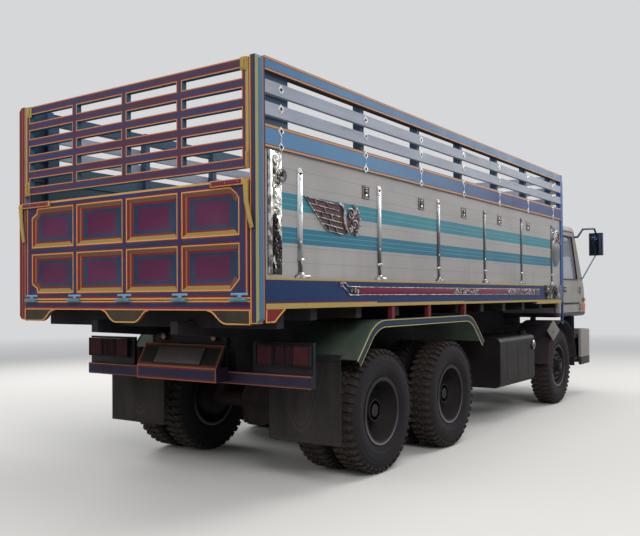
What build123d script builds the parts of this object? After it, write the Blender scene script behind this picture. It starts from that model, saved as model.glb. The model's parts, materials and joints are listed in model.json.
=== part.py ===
from build123d import *
import os
from math import cos, radians, sin

os.makedirs("parts", exist_ok=True)

# Ten-wheel cargo truck with a high slatted body, painted rear gates and bright straps.
# Millimetres. +X is the way it drives, +Y is its left side, +Z is up.
# The origin is on the ground, under the middle of its length and width.

# Load body
body_length = 6222
body_width = 2500
body_top = 2975
wall = 60
post_face = 77
post_depth = 65
panel_thickness = 35
panel_set_back = 15
band_bottom = 1350
sill_top = 1555
top_rail_height = 95
open_zone_height = 337
midband_height = 156
midband_top = body_top - top_rail_height - open_zone_height
panel_top = midband_top - midband_height
slat_height = 86
slat_thickness = 32
floor_thickness = 70
post_foot = 1258
front_post_depth = 65
stanchion_depth = 40
stanchion_width = 55
headboard_thickness = 45

# Cab, bumpers and the gaps along the truck
hinge_radius = 12
hinge_stand = 1
gate_proud = 2 * hinge_radius + hinge_stand
cab_gap = 108
cab_length = 1310
bumper_reach = 65
overall_length = gate_proud + body_length + cab_gap + cab_length + bumper_reach
body_rear = gate_proud - overall_length / 2

# Wheels and axles
tyre_radius = 500
tyre_width = 250
bead_radius = 256
first_axle = 1655
tandem_spacing = 1300
axle_ahead_of_body = 205
front_axle_place = body_length + axle_ahead_of_body
front_tyre_y = 1010
outer_tyre_y = 1075
twin_spacing = 330
kingpin_y = 870
kingpin_radius = 18
axle_height = tyre_radius

# Frame and subframe
rail_outer = 460
rail_flange = 75
rail_web = 8
rail_bottom = 790
rail_top = 1030
bearer_bottom = 1262
bearer_width = 80

# Fits
running_gap = 0.3
moving_gap = 6


def along(x):
    """A place measured forward from the body's rear face."""
    return body_rear + x


def block(x0, x1, y0, y1, z0, z1, mode=Mode.ADD):
    """A plain block between two corners, in the part that is being built."""
    with Locations(((x0 + x1) / 2, (y0 + y1) / 2, (z0 + z1) / 2)):
        Box(abs(x1 - x0), abs(y1 - y0), abs(z1 - z0), mode=mode)


def rod(start, end, radius, mode=Mode.ADD):
    """A round bar from one point to another."""
    run = Vector(*end) - Vector(*start)
    with Locations(Plane(origin=start, z_dir=run)):
        Cylinder(radius, run.length, align=(Align.CENTER, Align.CENTER, Align.MIN), mode=mode)


def prism(points, y0, y1, mode=Mode.ADD):
    """A side outline, as points of X and Z, made solid between two Y places."""
    with BuildSketch(Plane.XZ.offset(-y1)) as outline:
        with BuildLine():
            Polyline(*points, close=True)
        make_face()
    extrude(outline.sketch, amount=y1 - y0, mode=mode)


half_width = body_width / 2
body_front = along(body_length)
rear_axle_places = (first_axle, first_axle + tandem_spacing)
tandem_centre = first_axle + tandem_spacing / 2

# Chassis frame: two channel rails, cross-members and the mudflap hangers
frame_rear = 700
frame_end_gap = 80
frame_front = body_length + cab_gap + cab_length - frame_end_gap
cross_width = 60
cross_places = (
    760, 1350, first_axle + tandem_spacing / 2, 3150, 4000,
    0.7554 * body_length, 0.8438 * body_length, frame_front - 110,
)
cross_lift = 40
flap_place = 950
flap_inner = 575
flap_outer = 1240
flap_top = 1000
flap_bottom = 330
flap_thickness = 8
hanger_size = 25

with BuildPart() as chassis_frame:
    with BuildSketch(Plane.YZ.offset(along(frame_rear))):
        for side in (1, -1):
            with Locations((side * (rail_outer - rail_flange / 2), (rail_bottom + rail_top) / 2)):
                Rectangle(rail_flange, rail_top - rail_bottom)
            with Locations(
                (side * (rail_outer - rail_web - rail_flange / 2), (rail_bottom + rail_top) / 2)
            ):
                Rectangle(rail_flange, rail_top - rail_bottom - 2 * rail_web, mode=Mode.SUBTRACT)
    extrude(amount=frame_front - frame_rear)
    for place in cross_places:
        block(
            along(place - cross_width / 2), along(place + cross_width / 2),
            -(rail_outer - rail_web), rail_outer - rail_web,
            rail_bottom + cross_lift, rail_top - cross_lift,
        )
    for side in (1, -1):
        block(
            along(flap_place), along(flap_place) + hanger_size,
            side * (rail_outer - rail_web), side * flap_outer,
            flap_top - hanger_size, flap_top,
        )
chassis_frame.part.label = "chassis_frame"

# Subframe: two long members on the rails and the low bearer behind them
bearer_count = 10
bearer_first = 640
bearer_last = body_length - 142
rear_bearer_place = 250
rear_bearer_bottom = 1215
bearer_end = half_width - wall
member_width = 70
member_outer = 455
member_tail_low = 1170
member_step_low = 1120
member_short = 30
sill_depth = 75

with BuildPart() as subframe:
    for side in (1, -1):
        low_y, high_y = sorted((side * (member_outer - member_width), side * member_outer))
        prism(
            (
                (along(sill_depth), bearer_bottom), (along(sill_depth), member_tail_low),
                (along(frame_rear), member_step_low), (along(frame_rear), rail_top),
                (body_front - member_short, rail_top), (body_front - member_short, bearer_bottom),
            ),
            low_y, high_y,
        )
    block(
        along(rear_bearer_place), along(rear_bearer_place) + bearer_width,
        -bearer_end, bearer_end, rear_bearer_bottom, band_bottom,
    )
subframe.part.label = "subframe"

# Floor bearers: cross-beams that lie on the members and carry the planks
with BuildPart() as floor_bearers:
    for n in range(bearer_count):
        place = bearer_first + n * (bearer_last - bearer_first) / (bearer_count - 1)
        block(
            along(place), along(place) + bearer_width,
            -bearer_end, bearer_end, bearer_bottom, band_bottom,
        )
floor_bearers.part.label = "floor_bearers"

# Floor planks between the side walls, notched round the stanchions
floor_top = band_bottom + floor_thickness
stanchion_shares = (0.0371, 0.2097, 0.3598, 0.5042, 0.6520, 0.7944, 0.9402)
stanchion_places = [share * body_length for share in stanchion_shares]

with BuildPart() as body_floor:
    block(
        along(sill_depth), body_front - front_post_depth,
        -(half_width - wall), half_width - wall, band_bottom, floor_top,
    )
    for side in (1, -1):
        for place in stanchion_places:
            block(
                along(place - stanchion_width / 2), along(place + stanchion_width / 2),
                side * (half_width - wall - stanchion_depth), side * half_width,
                band_bottom, floor_top, mode=Mode.SUBTRACT,
            )
body_floor.part.label = "body_floor"

# Both gates: thickness, half width between the posts, and the upper gate's pins
gate_thickness = 45
gate_half = half_width - post_face - moving_gap
gate_top_gap = 10
upper_gate_height = 707
gate_gap = 68
upper_gate_top = body_top - gate_top_gap
upper_gate_bottom = upper_gate_top - upper_gate_height
pivot_radius = 11
pivot_drop = 32
pivot_x = body_rear + gate_thickness / 2
pivot_z = upper_gate_top - pivot_drop
pivot_depth = 40
hinge_gap = 1

# Corner posts: the rear ones run down past the sill, have clipped corners and hold the pins
post_clip = 30

with BuildPart() as corner_posts:
    for side in (1, -1):
        with BuildSketch(Plane.YZ.offset(body_rear)):
            with BuildLine():
                Polyline(
                    (side * (half_width - post_face), post_foot),
                    (side * (half_width - post_clip), post_foot),
                    (side * half_width, post_foot + post_clip),
                    (side * half_width, body_top - post_clip),
                    (side * (half_width - post_clip), body_top),
                    (side * (half_width - post_face), body_top),
                    close=True,
                )
            make_face()
        extrude(amount=post_depth)
        block(
            body_front - front_post_depth, body_front,
            side * (half_width - wall), side * half_width, band_bottom, body_top,
        )
        rod(
            (pivot_x, side * (gate_half - pivot_depth + hinge_gap), pivot_z),
            (pivot_x, side * (half_width - post_face + hinge_gap), pivot_z), pivot_radius,
        )
corner_posts.part.label = "corner_posts"

# Side walls: navy sill, white plank panel and the broad middle band, one solid each
wall_rear = along(post_depth)
wall_front = body_front - front_post_depth
sill_drop = 26
sill_drop_place = 0.84 * body_length
side_bracket_reach = 195
side_bracket_flat = 85
side_bracket_bottom = 1264
side_bracket_thickness = 20


def side_wall(side, label):
    """One side of the body, from the lower edge to the top of the middle band."""
    panel_face = half_width - panel_set_back
    with BuildPart() as wall_part:
        for inner, outer, low, high in (
            (half_width - wall, half_width, band_bottom, sill_top),
            (panel_face - panel_thickness, panel_face, sill_top, panel_top),
            (half_width - wall, half_width, panel_top, midband_top),
        ):
            block(wall_rear, wall_front, side * inner, side * outer, low, high)
        block(
            along(sill_drop_place), wall_front, side * (half_width - wall), side * half_width,
            band_bottom - sill_drop, band_bottom,
        )
        far = half_width if side > 0 else side_bracket_thickness - half_width
        prism(
            (
                (wall_rear, band_bottom), (wall_rear, side_bracket_bottom),
                (wall_rear + side_bracket_flat, side_bracket_bottom),
                (wall_rear + 0.7 * side_bracket_reach, (band_bottom + side_bracket_bottom) / 2),
                (wall_rear + side_bracket_reach, band_bottom),
            ),
            far - side_bracket_thickness, far,
        )
    wall_part.part.label = label
    return wall_part


side_wall_right = side_wall(-1, "side_wall_right")
side_wall_left = side_wall(1, "side_wall_left")

# Side racks: the top rail, two slats, the inner stanchions and a board at the rear corner
corner_board_end = 350
corner_board_thickness = 20
open_height = body_top - top_rail_height - midband_top
slat_gap = (open_height - 2 * slat_height) / 3
slat_lows = [midband_top + slat_gap, midband_top + 2 * slat_gap + slat_height]


def side_rack(side, label):
    """One side's open upper part, with its stanchions standing on the floor."""
    inner = half_width - wall
    behind_slats = half_width - slat_thickness
    rail_low = body_top - top_rail_height
    with BuildPart() as rack:
        block(wall_rear, wall_front, side * inner, side * half_width, rail_low, body_top)
        for low in slat_lows:
            block(
                wall_rear, wall_front, side * behind_slats, side * half_width,
                low, low + slat_height,
            )
        for place in stanchion_places:
            x0 = along(place - stanchion_width / 2)
            x1 = along(place + stanchion_width / 2)
            block(x0, x1, side * (inner - stanchion_depth), side * inner, band_bottom, body_top)
            block(x0, x1, side * inner, side * behind_slats, midband_top, rail_low)
        block(
            wall_rear, along(corner_board_end), side * (behind_slats - corner_board_thickness),
            side * behind_slats, midband_top, rail_low,
        )
    rack.part.label = label
    return rack


side_rack_right = side_rack(-1, "side_rack_right")
side_rack_left = side_rack(1, "side_rack_left")

# Headboard: planks below, slats above, four uprights
upright_ys = (-750, -250, 250, 750)
upright_depth = 28

with BuildPart() as headboard:
    board_back = body_front - headboard_thickness
    board_end = half_width - wall
    block(board_back, body_front, -board_end, board_end, floor_top, midband_top)
    block(board_back, body_front, -board_end, board_end, body_top - top_rail_height, body_top)
    for low in slat_lows:
        block(
            body_front - slat_thickness, body_front, -board_end, board_end,
            low, low + slat_height,
        )
    for y in upright_ys:
        block(
            body_front, body_front + upright_depth,
            y - stanchion_width / 2, y + stanchion_width / 2, floor_top, body_top,
        )
headboard.part.label = "headboard"

# Rear sill: rail under the lower gate, cut-out brackets below it, and hinge barrels
rear_sill_top = 1408
rear_sill_bottom = 1341
bracket_bottom = 1250
bracket_thickness = 30
outer_hinge_y = 0.868 * half_width
inner_hinge_y = 0.4432 * half_width
hinge_ys = (-outer_hinge_y, -inner_hinge_y, 0, inner_hinge_y, outer_hinge_y)
hinge_pin_radius = 6
hinge_axis_x = body_rear - hinge_radius - hinge_stand
hinge_axis_z = rear_sill_top + 3.5
knuckle_width = 45

# Bracket outlines, as Y at the top, Y of the curve's foot and Y at the flat's end
corner_bracket_reach = 365
corner_flat_reach = 200
centre_bracket_half = 245
centre_flat_half = 95
bracket_curve = 125

with BuildPart() as rear_sill:
    sill_end = half_width - post_face
    block(body_rear, along(sill_depth), -sill_end, sill_end, rear_sill_bottom, rear_sill_top)
    bracket_middle = (rear_sill_bottom + bracket_bottom) / 2
    for side in (1, -1):
        flat_y = side * (sill_end - corner_flat_reach)
        top_y = side * (sill_end - corner_bracket_reach)
        step_y = (flat_y + top_y) / 2
        with BuildSketch(Plane.YZ.offset(body_rear)):
            with BuildLine():
                Line((side * sill_end, rear_sill_bottom), (side * sill_end, bracket_bottom))
                Line((side * sill_end, bracket_bottom), (flat_y, bracket_bottom))
                RadiusArc((flat_y, bracket_bottom), (step_y, bracket_middle), side * bracket_curve)
                RadiusArc((step_y, bracket_middle), (top_y, rear_sill_bottom), -side * bracket_curve)
                Line((top_y, rear_sill_bottom), (side * sill_end, rear_sill_bottom))
            make_face()
        extrude(amount=bracket_thickness)
    with BuildSketch(Plane.YZ.offset(body_rear)):
        centre_step = (centre_bracket_half + centre_flat_half) / 2
        with BuildLine():
            Line((-centre_flat_half, bracket_bottom), (centre_flat_half, bracket_bottom))
            RadiusArc(
                (centre_flat_half, bracket_bottom), (centre_step, bracket_middle), -bracket_curve
            )
            RadiusArc(
                (centre_step, bracket_middle), (centre_bracket_half, rear_sill_bottom), bracket_curve
            )
            Line((centre_bracket_half, rear_sill_bottom), (-centre_bracket_half, rear_sill_bottom))
            RadiusArc(
                (-centre_bracket_half, rear_sill_bottom), (-centre_step, bracket_middle), bracket_curve
            )
            RadiusArc(
                (-centre_step, bracket_middle), (-centre_flat_half, bracket_bottom), -bracket_curve
            )
        make_face()
    extrude(amount=bracket_thickness)
    for y in hinge_ys:
        for side in (1, -1):
            near = knuckle_width / 2 + hinge_gap
            rod(
                (hinge_axis_x, y + side * near, hinge_axis_z),
                (hinge_axis_x, y + side * (near + knuckle_width), hinge_axis_z), hinge_radius,
            )
            block(
                hinge_axis_x, body_rear,
                y + side * near, y + side * (near + knuckle_width),
                hinge_axis_z - hinge_radius, rear_sill_top,
            )
        rod(
            (hinge_axis_x, y - knuckle_width, hinge_axis_z),
            (hinge_axis_x, y + knuckle_width, hinge_axis_z), hinge_pin_radius,
        )
rear_sill.part.label = "rear_sill"

# Lower gate: a framed door with two rows of four sunk panels, hinged along its foot
lower_gate_bottom = 1415
lower_gate_top = upper_gate_bottom - gate_gap
lower_gate_height = lower_gate_top - lower_gate_bottom
panel_pitch = 0.473 * gate_half
panel_bar = 52
panel_width = panel_pitch - panel_bar
panel_ys = [(n - 1.5) * panel_pitch for n in range(4)]
# Panel rows, as shares of the gate's height from low edge to high edge
panel_shares = ((0.079, 0.462), (0.542, 0.931))
panel_rows = [
    tuple(lower_gate_bottom + share * lower_gate_height for share in shares)
    for shares in panel_shares
]
panel_bevel = 45
panel_depth = 25
panel_clip = 70


def panel_outline(x, y, row, inset):
    """A sunk panel's outline at a depth; the gate's corner panels have a clipped corner."""
    low, high = panel_rows[row]
    half = panel_width / 2 - inset
    low, high = low + inset, high - inset
    with BuildSketch(Plane.YZ.offset(x)) as outline:
        with Locations((y, (low + high) / 2)):
            Rectangle(2 * half, high - low)
        if abs(y) > panel_width:
            corner = (y + half if y > 0 else y - half, high if row else low)
            chamfer(outline.vertices().sort_by_distance(Vector(x, *corner))[0], length=panel_clip)
    return outline.sketch


with BuildPart() as lower_gate:
    block(
        body_rear, body_rear + gate_thickness, -gate_half, gate_half,
        lower_gate_bottom, lower_gate_top,
    )
    for row in range(len(panel_rows)):
        for y in panel_ys:
            rim = panel_outline(body_rear, y, row, 0)
            sunk = panel_outline(body_rear + panel_depth, y, row, panel_bevel)
            loft((rim, sunk), mode=Mode.SUBTRACT)
    for y in hinge_ys:
        rod(
            (hinge_axis_x, y - knuckle_width / 2, hinge_axis_z),
            (hinge_axis_x, y + knuckle_width / 2, hinge_axis_z), hinge_radius,
        )
        block(
            hinge_axis_x, body_rear, y - knuckle_width / 2, y + knuckle_width / 2,
            lower_gate_bottom, hinge_axis_z + hinge_radius,
        )
        rod(
            (hinge_axis_x, y - knuckle_width, hinge_axis_z),
            (hinge_axis_x, y + knuckle_width, hinge_axis_z),
            hinge_pin_radius + running_gap, mode=Mode.SUBTRACT,
        )
lower_gate.part.label = "lower_gate"

# Gate latches: a toggle bar along the lower gate's top edge and a lever down each end
latch_reach = 320
latch_bar = 24
latch_drop = 10
latch_proud = 22
lever_width = 30
lever_bend = 60
# Levers: side, then reach past the gate's edge and drop below its top, at head, bend and foot
levers = (
    (-1, ((-18, 12), (-12, 150), (32, 325))),
    (1, ((46, 12), (36, 150), (4, 315))),
)

with BuildPart() as gate_latches:
    for side, stops in levers:
        high = lower_gate_top - latch_drop
        route = [(side * (gate_half + reach), lower_gate_top - drop) for reach, drop in stops]
        block(
            body_rear - latch_proud, body_rear,
            side * (gate_half - latch_reach), side * gate_half, high - latch_bar, high,
        )
        block(
            body_rear - latch_proud, body_rear - moving_gap,
            side * (gate_half - 2 * latch_bar), route[0][0], high - latch_bar, high,
        )
        with BuildSketch(Plane.YZ.offset(body_rear - latch_proud)) as lever:
            with BuildLine():
                FilletPolyline(*route, radius=lever_bend)
            trace(line_width=lever_width)
        extrude(lever.sketch, amount=latch_proud - moving_gap)
gate_latches.part.label = "gate_latches"

# Upper gate: a slatted frame hung on a pin at each top corner
gate_slat = 64
gate_slat_count = 6
gate_stile = 56
gate_bar = 54
gate_bar_ys = (-inner_hinge_y, 0, inner_hinge_y)

with BuildPart() as upper_gate:
    slat_pitch = (upper_gate_top - upper_gate_bottom - gate_slat) / (gate_slat_count - 1)
    for n in range(gate_slat_count):
        low = upper_gate_bottom + n * slat_pitch
        block(
            body_rear, body_rear + gate_thickness, -gate_half, gate_half, low, low + gate_slat,
        )
    for side in (1, -1):
        block(
            body_rear, body_rear + gate_thickness,
            side * (gate_half - gate_stile), side * gate_half,
            upper_gate_bottom, upper_gate_top,
        )
    for y in gate_bar_ys:
        block(
            body_rear, body_rear + gate_thickness, y - gate_bar / 2, y + gate_bar / 2,
            upper_gate_bottom, upper_gate_top,
        )
    for side in (1, -1):
        rod(
            (pivot_x, side * (gate_half - pivot_depth), pivot_z), (pivot_x, side * gate_half, pivot_z),
            pivot_radius + running_gap, mode=Mode.SUBTRACT,
        )
upper_gate.part.label = "upper_gate"

# Bright straps: upright bars on the panels, each with a foot and a knuckle
strap_first_share = 0.0732
strap_pitch_share = 0.1721
strap_places = [(strap_first_share + n * strap_pitch_share) * body_length for n in range(6)]
strap_width = 60
strap_thickness = 12
strap_top = panel_top - 81
strap_knuckle_z = 1679
strap_foot_height = 34
strap_foot_behind = 60
strap_foot_ahead = 105
strap_knuckle_lap = 5

with BuildPart() as side_straps:
    for side in (1, -1):
        face = half_width - panel_set_back
        for place in strap_places:
            x = along(place)
            block(
                x - strap_width / 2, x + strap_width / 2,
                side * face, side * (face + strap_thickness), sill_top, strap_top,
            )
            block(
                x - strap_foot_behind, x + strap_foot_ahead,
                side * face, side * (face + strap_thickness), sill_top, sill_top + strap_foot_height,
            )
            rod(
                (
                    x - strap_width / 2 - strap_knuckle_lap,
                    side * (face + strap_thickness / 2), strap_knuckle_z,
                ),
                (
                    x + strap_width / 2 + strap_knuckle_lap,
                    side * (face + strap_thickness / 2), strap_knuckle_z,
                ),
                strap_thickness / 2,
            )
side_straps.part.label = "side_straps"

# Guard pipes in front of the body's front posts, bent back to meet them at the top
pipe_radius = 16
pipe_reach = 60
pipe_foot = 1055
pipe_top = body_top - 45
pipe_y = half_width - wall / 2
clamp_height = 40
clamp_half = 12
clamp_zs = (1500, 2150)

with BuildPart() as guard_pipes:
    pipe_x = body_front + pipe_reach
    bend_z = pipe_top - pipe_reach
    for side in (1, -1):
        rod((pipe_x, side * pipe_y, pipe_foot), (pipe_x, side * pipe_y, bend_z), pipe_radius)
        with BuildSketch(Plane.XY.offset(bend_z)):
            with Locations((pipe_x, side * pipe_y)):
                Circle(pipe_radius)
        revolve(axis=Axis((body_front, 0, bend_z), (0, -1, 0)), revolution_arc=90)
        for z in clamp_zs:
            block(
                body_front, pipe_x, side * (pipe_y - clamp_half), side * (pipe_y + clamp_half),
                z, z + clamp_height,
            )
guard_pipes.part.label = "guard_pipes"

# Tandem mudguards: one long sheet over both axles on each side, on three struts
guard_top = 1240
guard_thickness = 8
guard_inner = 620
guard_lip = 60
guard_bend = 330
# Outline of the sheet's middle line, as X from the body's rear face and Z
guard_outline = (
    (rear_axle_places[0] - 465, 945), (rear_axle_places[0] - 195, guard_top - 4),
    (rear_axle_places[1] + 345, guard_top - 4), (rear_axle_places[1] + 630, 972),
)
strut_places = (1741, 2401, 3165)
strut_width = 45
strut_depth = 40

with BuildPart() as mudguards:
    for side in (1, -1):
        far = half_width if side > 0 else -guard_inner
        with BuildSketch(Plane.XZ.offset(-far)):
            with BuildLine():
                FilletPolyline(*[(along(x), z) for x, z in guard_outline], radius=guard_bend)
            trace(line_width=guard_thickness)
        extrude(amount=half_width - guard_inner)
        lip_far = half_width if side > 0 else -(half_width - guard_thickness)
        with BuildSketch(Plane.XZ.offset(-lip_far)):
            with BuildLine():
                FilletPolyline(
                    *[(along(x), z - (guard_lip - guard_thickness) / 2) for x, z in guard_outline],
                    radius=guard_bend,
                )
            trace(line_width=guard_lip)
        extrude(amount=guard_thickness)
        for place in strut_places:
            block(
                along(place - strut_width / 2), along(place + strut_width / 2),
                side * (half_width - 10 - strut_depth), side * (half_width - 10),
                guard_top, band_bottom,
            )
mudguards.part.label = "mudguards"

# Mudflaps behind the tandem
with BuildPart() as mudflaps:
    for side in (1, -1):
        block(
            along(flap_place) - flap_thickness, along(flap_place),
            side * flap_inner, side * flap_outer, flap_bottom, flap_top,
        )
mudflaps.part.label = "mudflaps"

# Rear bumper: one long bar on the frame's ends, with a lamp board at each side
bar_bottom = 775
bar_top = 868
bar_depth = 60
bar_inset = 60
bar_end = half_width - bar_inset
lamp_board_inner = 640
lamp_board_top = 1100
lamp_board_depth = 30
centre_plate_half = 380
centre_plate_top = 1150

with BuildPart() as rear_bumper:
    bar_x = along(frame_rear)
    block(bar_x - bar_depth, bar_x, -bar_end, bar_end, bar_bottom, bar_top)
    for side in (1, -1):
        block(
            bar_x - lamp_board_depth, bar_x, side * lamp_board_inner, side * bar_end,
            bar_top, lamp_board_top,
        )
    block(
        bar_x - lamp_board_depth, bar_x, -centre_plate_half, centre_plate_half,
        bar_top, centre_plate_top,
    )
rear_bumper.part.label = "rear_bumper"

# Tail lamps: two blocks on each board and two round lamps on the centre plate
lamp_width = 160
lamp_low = 930
lamp_high = 1085
lamp_depth = 35
lamp_ys = (770, 1100)
round_lamp_radius = 26
round_lamp_depth = 30
round_lamp_y = 270
round_lamp_z = 1115

with BuildPart() as tail_lamps:
    lamp_x = bar_x - lamp_board_depth
    for side in (1, -1):
        for y in lamp_ys:
            block(
                lamp_x - lamp_depth, lamp_x,
                side * (y - lamp_width / 2), side * (y + lamp_width / 2), lamp_low, lamp_high,
            )
        rod(
            (lamp_x - round_lamp_depth, side * round_lamp_y, round_lamp_z),
            (lamp_x, side * round_lamp_y, round_lamp_z), round_lamp_radius,
        )
tail_lamps.part.label = "tail_lamps"

# Sloping plate board in front of the bar, with a box along its foot
board_half = 425
board_top_place = 600
board_foot_place = 500
board_top_z = 1065
board_foot_z = 895
board_low_z = 790
board_thickness = 25

with BuildPart() as plate_board:
    prism(
        (
            (along(board_foot_place), board_low_z),
            (along(board_foot_place), board_foot_z),
            (along(board_top_place), board_top_z),
            (along(board_top_place) + board_thickness, board_top_z),
            (along(board_foot_place) + board_thickness + 20, board_foot_z),
            (bar_x - bar_depth, board_foot_z),
            (bar_x - bar_depth, board_low_z),
        ),
        -board_half, board_half,
    )
plate_board.part.label = "plate_board"

# Rear axles: tube housing, round centre case, spring pads and wheel spindles
housing_radius = 72
housing_end = 590
spindle_radius = 48
case_radius = 205
case_half = 120
pad_half = 60
spring_outer = 570
spring_inner = 480
pad_top = axle_height + 90
hub_face = 1110

with BuildPart() as rear_axles:
    for place in rear_axle_places:
        x = along(place)
        rod((x, -housing_end, axle_height), (x, housing_end, axle_height), housing_radius)
        rod((x, -hub_face + 40, axle_height), (x, hub_face - 40, axle_height), spindle_radius)
        with Locations(Plane(origin=(x, 0, axle_height), z_dir=(1, 0, 0))):
            Cylinder(case_radius, 2 * case_half)
        for side in (1, -1):
            block(
                x - pad_half, x + pad_half, side * spring_inner, side * spring_outer,
                axle_height, pad_top,
            )
rear_axles.part.label = "rear_axles"

# Front axle: a dropped beam with an upright eye at each end
beam_low = 390
beam_height = 90
beam_depth = 90
beam_drop_y = 620
eye_radius = 45
eye_half = 65
eye_bottom = axle_height - eye_half
eye_top = axle_height + eye_half
front_spring_outer = 455
front_spring_inner = 375
front_pad_top = 500

front_x = along(front_axle_place)

with BuildPart() as front_axle:
    beam_end_low = axle_height - beam_height / 2
    with BuildSketch(Plane.YZ.offset(front_x - beam_depth / 2)):
        with BuildLine():
            Polyline(
                (-kingpin_y, beam_end_low), (-kingpin_y + 110, beam_end_low),
                (-beam_drop_y, beam_low), (beam_drop_y, beam_low),
                (kingpin_y - 110, beam_end_low), (kingpin_y, beam_end_low),
                (kingpin_y, beam_end_low + beam_height),
                (kingpin_y - 110, beam_end_low + beam_height),
                (beam_drop_y, beam_low + beam_height), (-beam_drop_y, beam_low + beam_height),
                (-kingpin_y + 110, beam_end_low + beam_height),
                (-kingpin_y, beam_end_low + beam_height),
                close=True,
            )
        make_face()
    extrude(amount=beam_depth)
    for side in (1, -1):
        rod((front_x, side * kingpin_y, eye_bottom), (front_x, side * kingpin_y, eye_top), eye_radius)
        block(
            front_x - pad_half, front_x + pad_half,
            side * front_spring_inner, side * front_spring_outer,
            beam_low + beam_height, front_pad_top,
        )
        rod(
            (front_x, side * kingpin_y, eye_bottom - 10), (front_x, side * kingpin_y, eye_top + 10),
            kingpin_radius + running_gap, mode=Mode.SUBTRACT,
        )
front_axle.part.label = "front_axle"

# Steering knuckles: a fork on the kingpin, a spindle for the wheel and a rod arm
fork_gap = 5
fork_lug = 32
fork_plate_inner = 50
fork_plate = 28
front_spindle_radius = 36
front_hub_face = 1150
arm_reach = 190
arm_pin_radius = 10
arm_pin_rise = 34
arm_low = eye_bottom - fork_gap - fork_lug


def knuckle(side, label):
    """The steered knuckle of one side, about its upright kingpin."""
    pin_y = side * kingpin_y
    with BuildPart() as part:
        for low in (arm_low, eye_top + fork_gap):
            rod((front_x, pin_y, low), (front_x, pin_y, low + fork_lug), eye_radius)
            block(
                front_x - eye_radius, front_x + eye_radius,
                pin_y, pin_y + side * (fork_plate_inner + fork_plate), low, low + fork_lug,
            )
        block(
            front_x - eye_radius, front_x + eye_radius,
            pin_y + side * fork_plate_inner, pin_y + side * (fork_plate_inner + fork_plate),
            arm_low, eye_top + fork_gap + fork_lug,
        )
        rod((front_x, pin_y, arm_low), (front_x, pin_y, eye_top + fork_gap + fork_lug), kingpin_radius)
        rod(
            (front_x, pin_y + side * fork_plate_inner, axle_height),
            (front_x, side * (front_hub_face - 50), axle_height), front_spindle_radius,
        )
        with BuildSketch(Plane.XY.offset(arm_low)):
            with BuildLine():
                Polyline(
                    (front_x, pin_y - side * 25), (front_x - arm_reach, pin_y - side * 22),
                    (front_x - arm_reach, pin_y + side * 22), (front_x, pin_y + side * 25),
                    close=True,
                )
            make_face()
        extrude(amount=fork_lug)
        rod(
            (front_x - arm_reach, pin_y, arm_low), (front_x - arm_reach, pin_y, arm_low + fork_lug),
            22,
        )
        rod(
            (front_x - arm_reach, pin_y, arm_low - arm_pin_rise),
            (front_x - arm_reach, pin_y, arm_low), arm_pin_radius,
        )
    part.part.label = label
    return part


knuckle_right = knuckle(-1, "knuckle_right")
knuckle_left = knuckle(1, "knuckle_left")

# Track rod between the two arms, under them
rod_eye_radius = 24
rod_eye_height = 24
track_rod_radius = 16

with BuildPart() as track_rod:
    rod_x = front_x - arm_reach
    rod_y = kingpin_y
    rod_top = arm_low - fork_gap
    rod_z = rod_top - rod_eye_height / 2
    rod((rod_x, -rod_y, rod_z), (rod_x, rod_y, rod_z), track_rod_radius)
    for side in (1, -1):
        rod((rod_x, side * rod_y, rod_top - rod_eye_height), (rod_x, side * rod_y, rod_top), rod_eye_radius)
    for side in (1, -1):
        rod(
            (rod_x, side * rod_y, rod_top - rod_eye_height - 20),
            (rod_x, side * rod_y, rod_top + 10), arm_pin_radius + running_gap, mode=Mode.SUBTRACT,
        )
track_rod.part.label = "track_rod"

# Leaf springs: two over the front axle, two across the tandem on a centre saddle
leaf_half = 620
leaf_rise = 150
leaf_thickness = 60
saddle_half = 110

with BuildPart() as springs:
    for side in (1, -1):
        front_far = front_spring_outer if side > 0 else -front_spring_inner
        with BuildSketch(Plane.XZ.offset(-front_far)):
            with BuildLine():
                ThreePointArc(
                    (front_x - leaf_half, rail_bottom - 40), (front_x, front_pad_top),
                    (front_x + leaf_half, rail_bottom - 40),
                )
                Line((front_x + leaf_half, rail_bottom - 40), (front_x + leaf_half, rail_bottom))
                ThreePointArc(
                    (front_x + leaf_half, rail_bottom), (front_x, front_pad_top + leaf_thickness + 30),
                    (front_x - leaf_half, rail_bottom),
                )
                Line((front_x - leaf_half, rail_bottom), (front_x - leaf_half, rail_bottom - 40))
            make_face()
        extrude(amount=front_spring_outer - front_spring_inner)
        rear_far = spring_outer if side > 0 else -spring_inner
        centre_x = along(tandem_centre)
        end = tandem_spacing / 2 + 50
        with BuildSketch(Plane.XZ.offset(-rear_far)):
            with BuildLine():
                Line((centre_x - end, pad_top), (centre_x - end, pad_top + 40))
                ThreePointArc(
                    (centre_x - end, pad_top + 40), (centre_x, pad_top + leaf_rise),
                    (centre_x + end, pad_top + 40),
                )
                Line((centre_x + end, pad_top + 40), (centre_x + end, pad_top))
                Line((centre_x + end, pad_top), (centre_x + end - 100, pad_top))
                ThreePointArc(
                    (centre_x + end - 100, pad_top), (centre_x, pad_top + leaf_rise - 110),
                    (centre_x - end + 100, pad_top),
                )
                Line((centre_x - end + 100, pad_top), (centre_x - end, pad_top))
            make_face()
        extrude(amount=spring_outer - spring_inner)
        block(
            centre_x - saddle_half, centre_x + saddle_half,
            side * rail_outer, side * spring_outer, pad_top + leaf_rise - 20, rail_bottom + 120,
        )
springs.part.label = "springs"

# Wheels: rim barrel, dished disc, hub and brake drum turned as one piece
barrel_radius = bead_radius - running_gap
barrel_wall = 12
flange_radius = 275
rim_half = 105
disc_thickness = 14
drum_radius = 205


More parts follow.
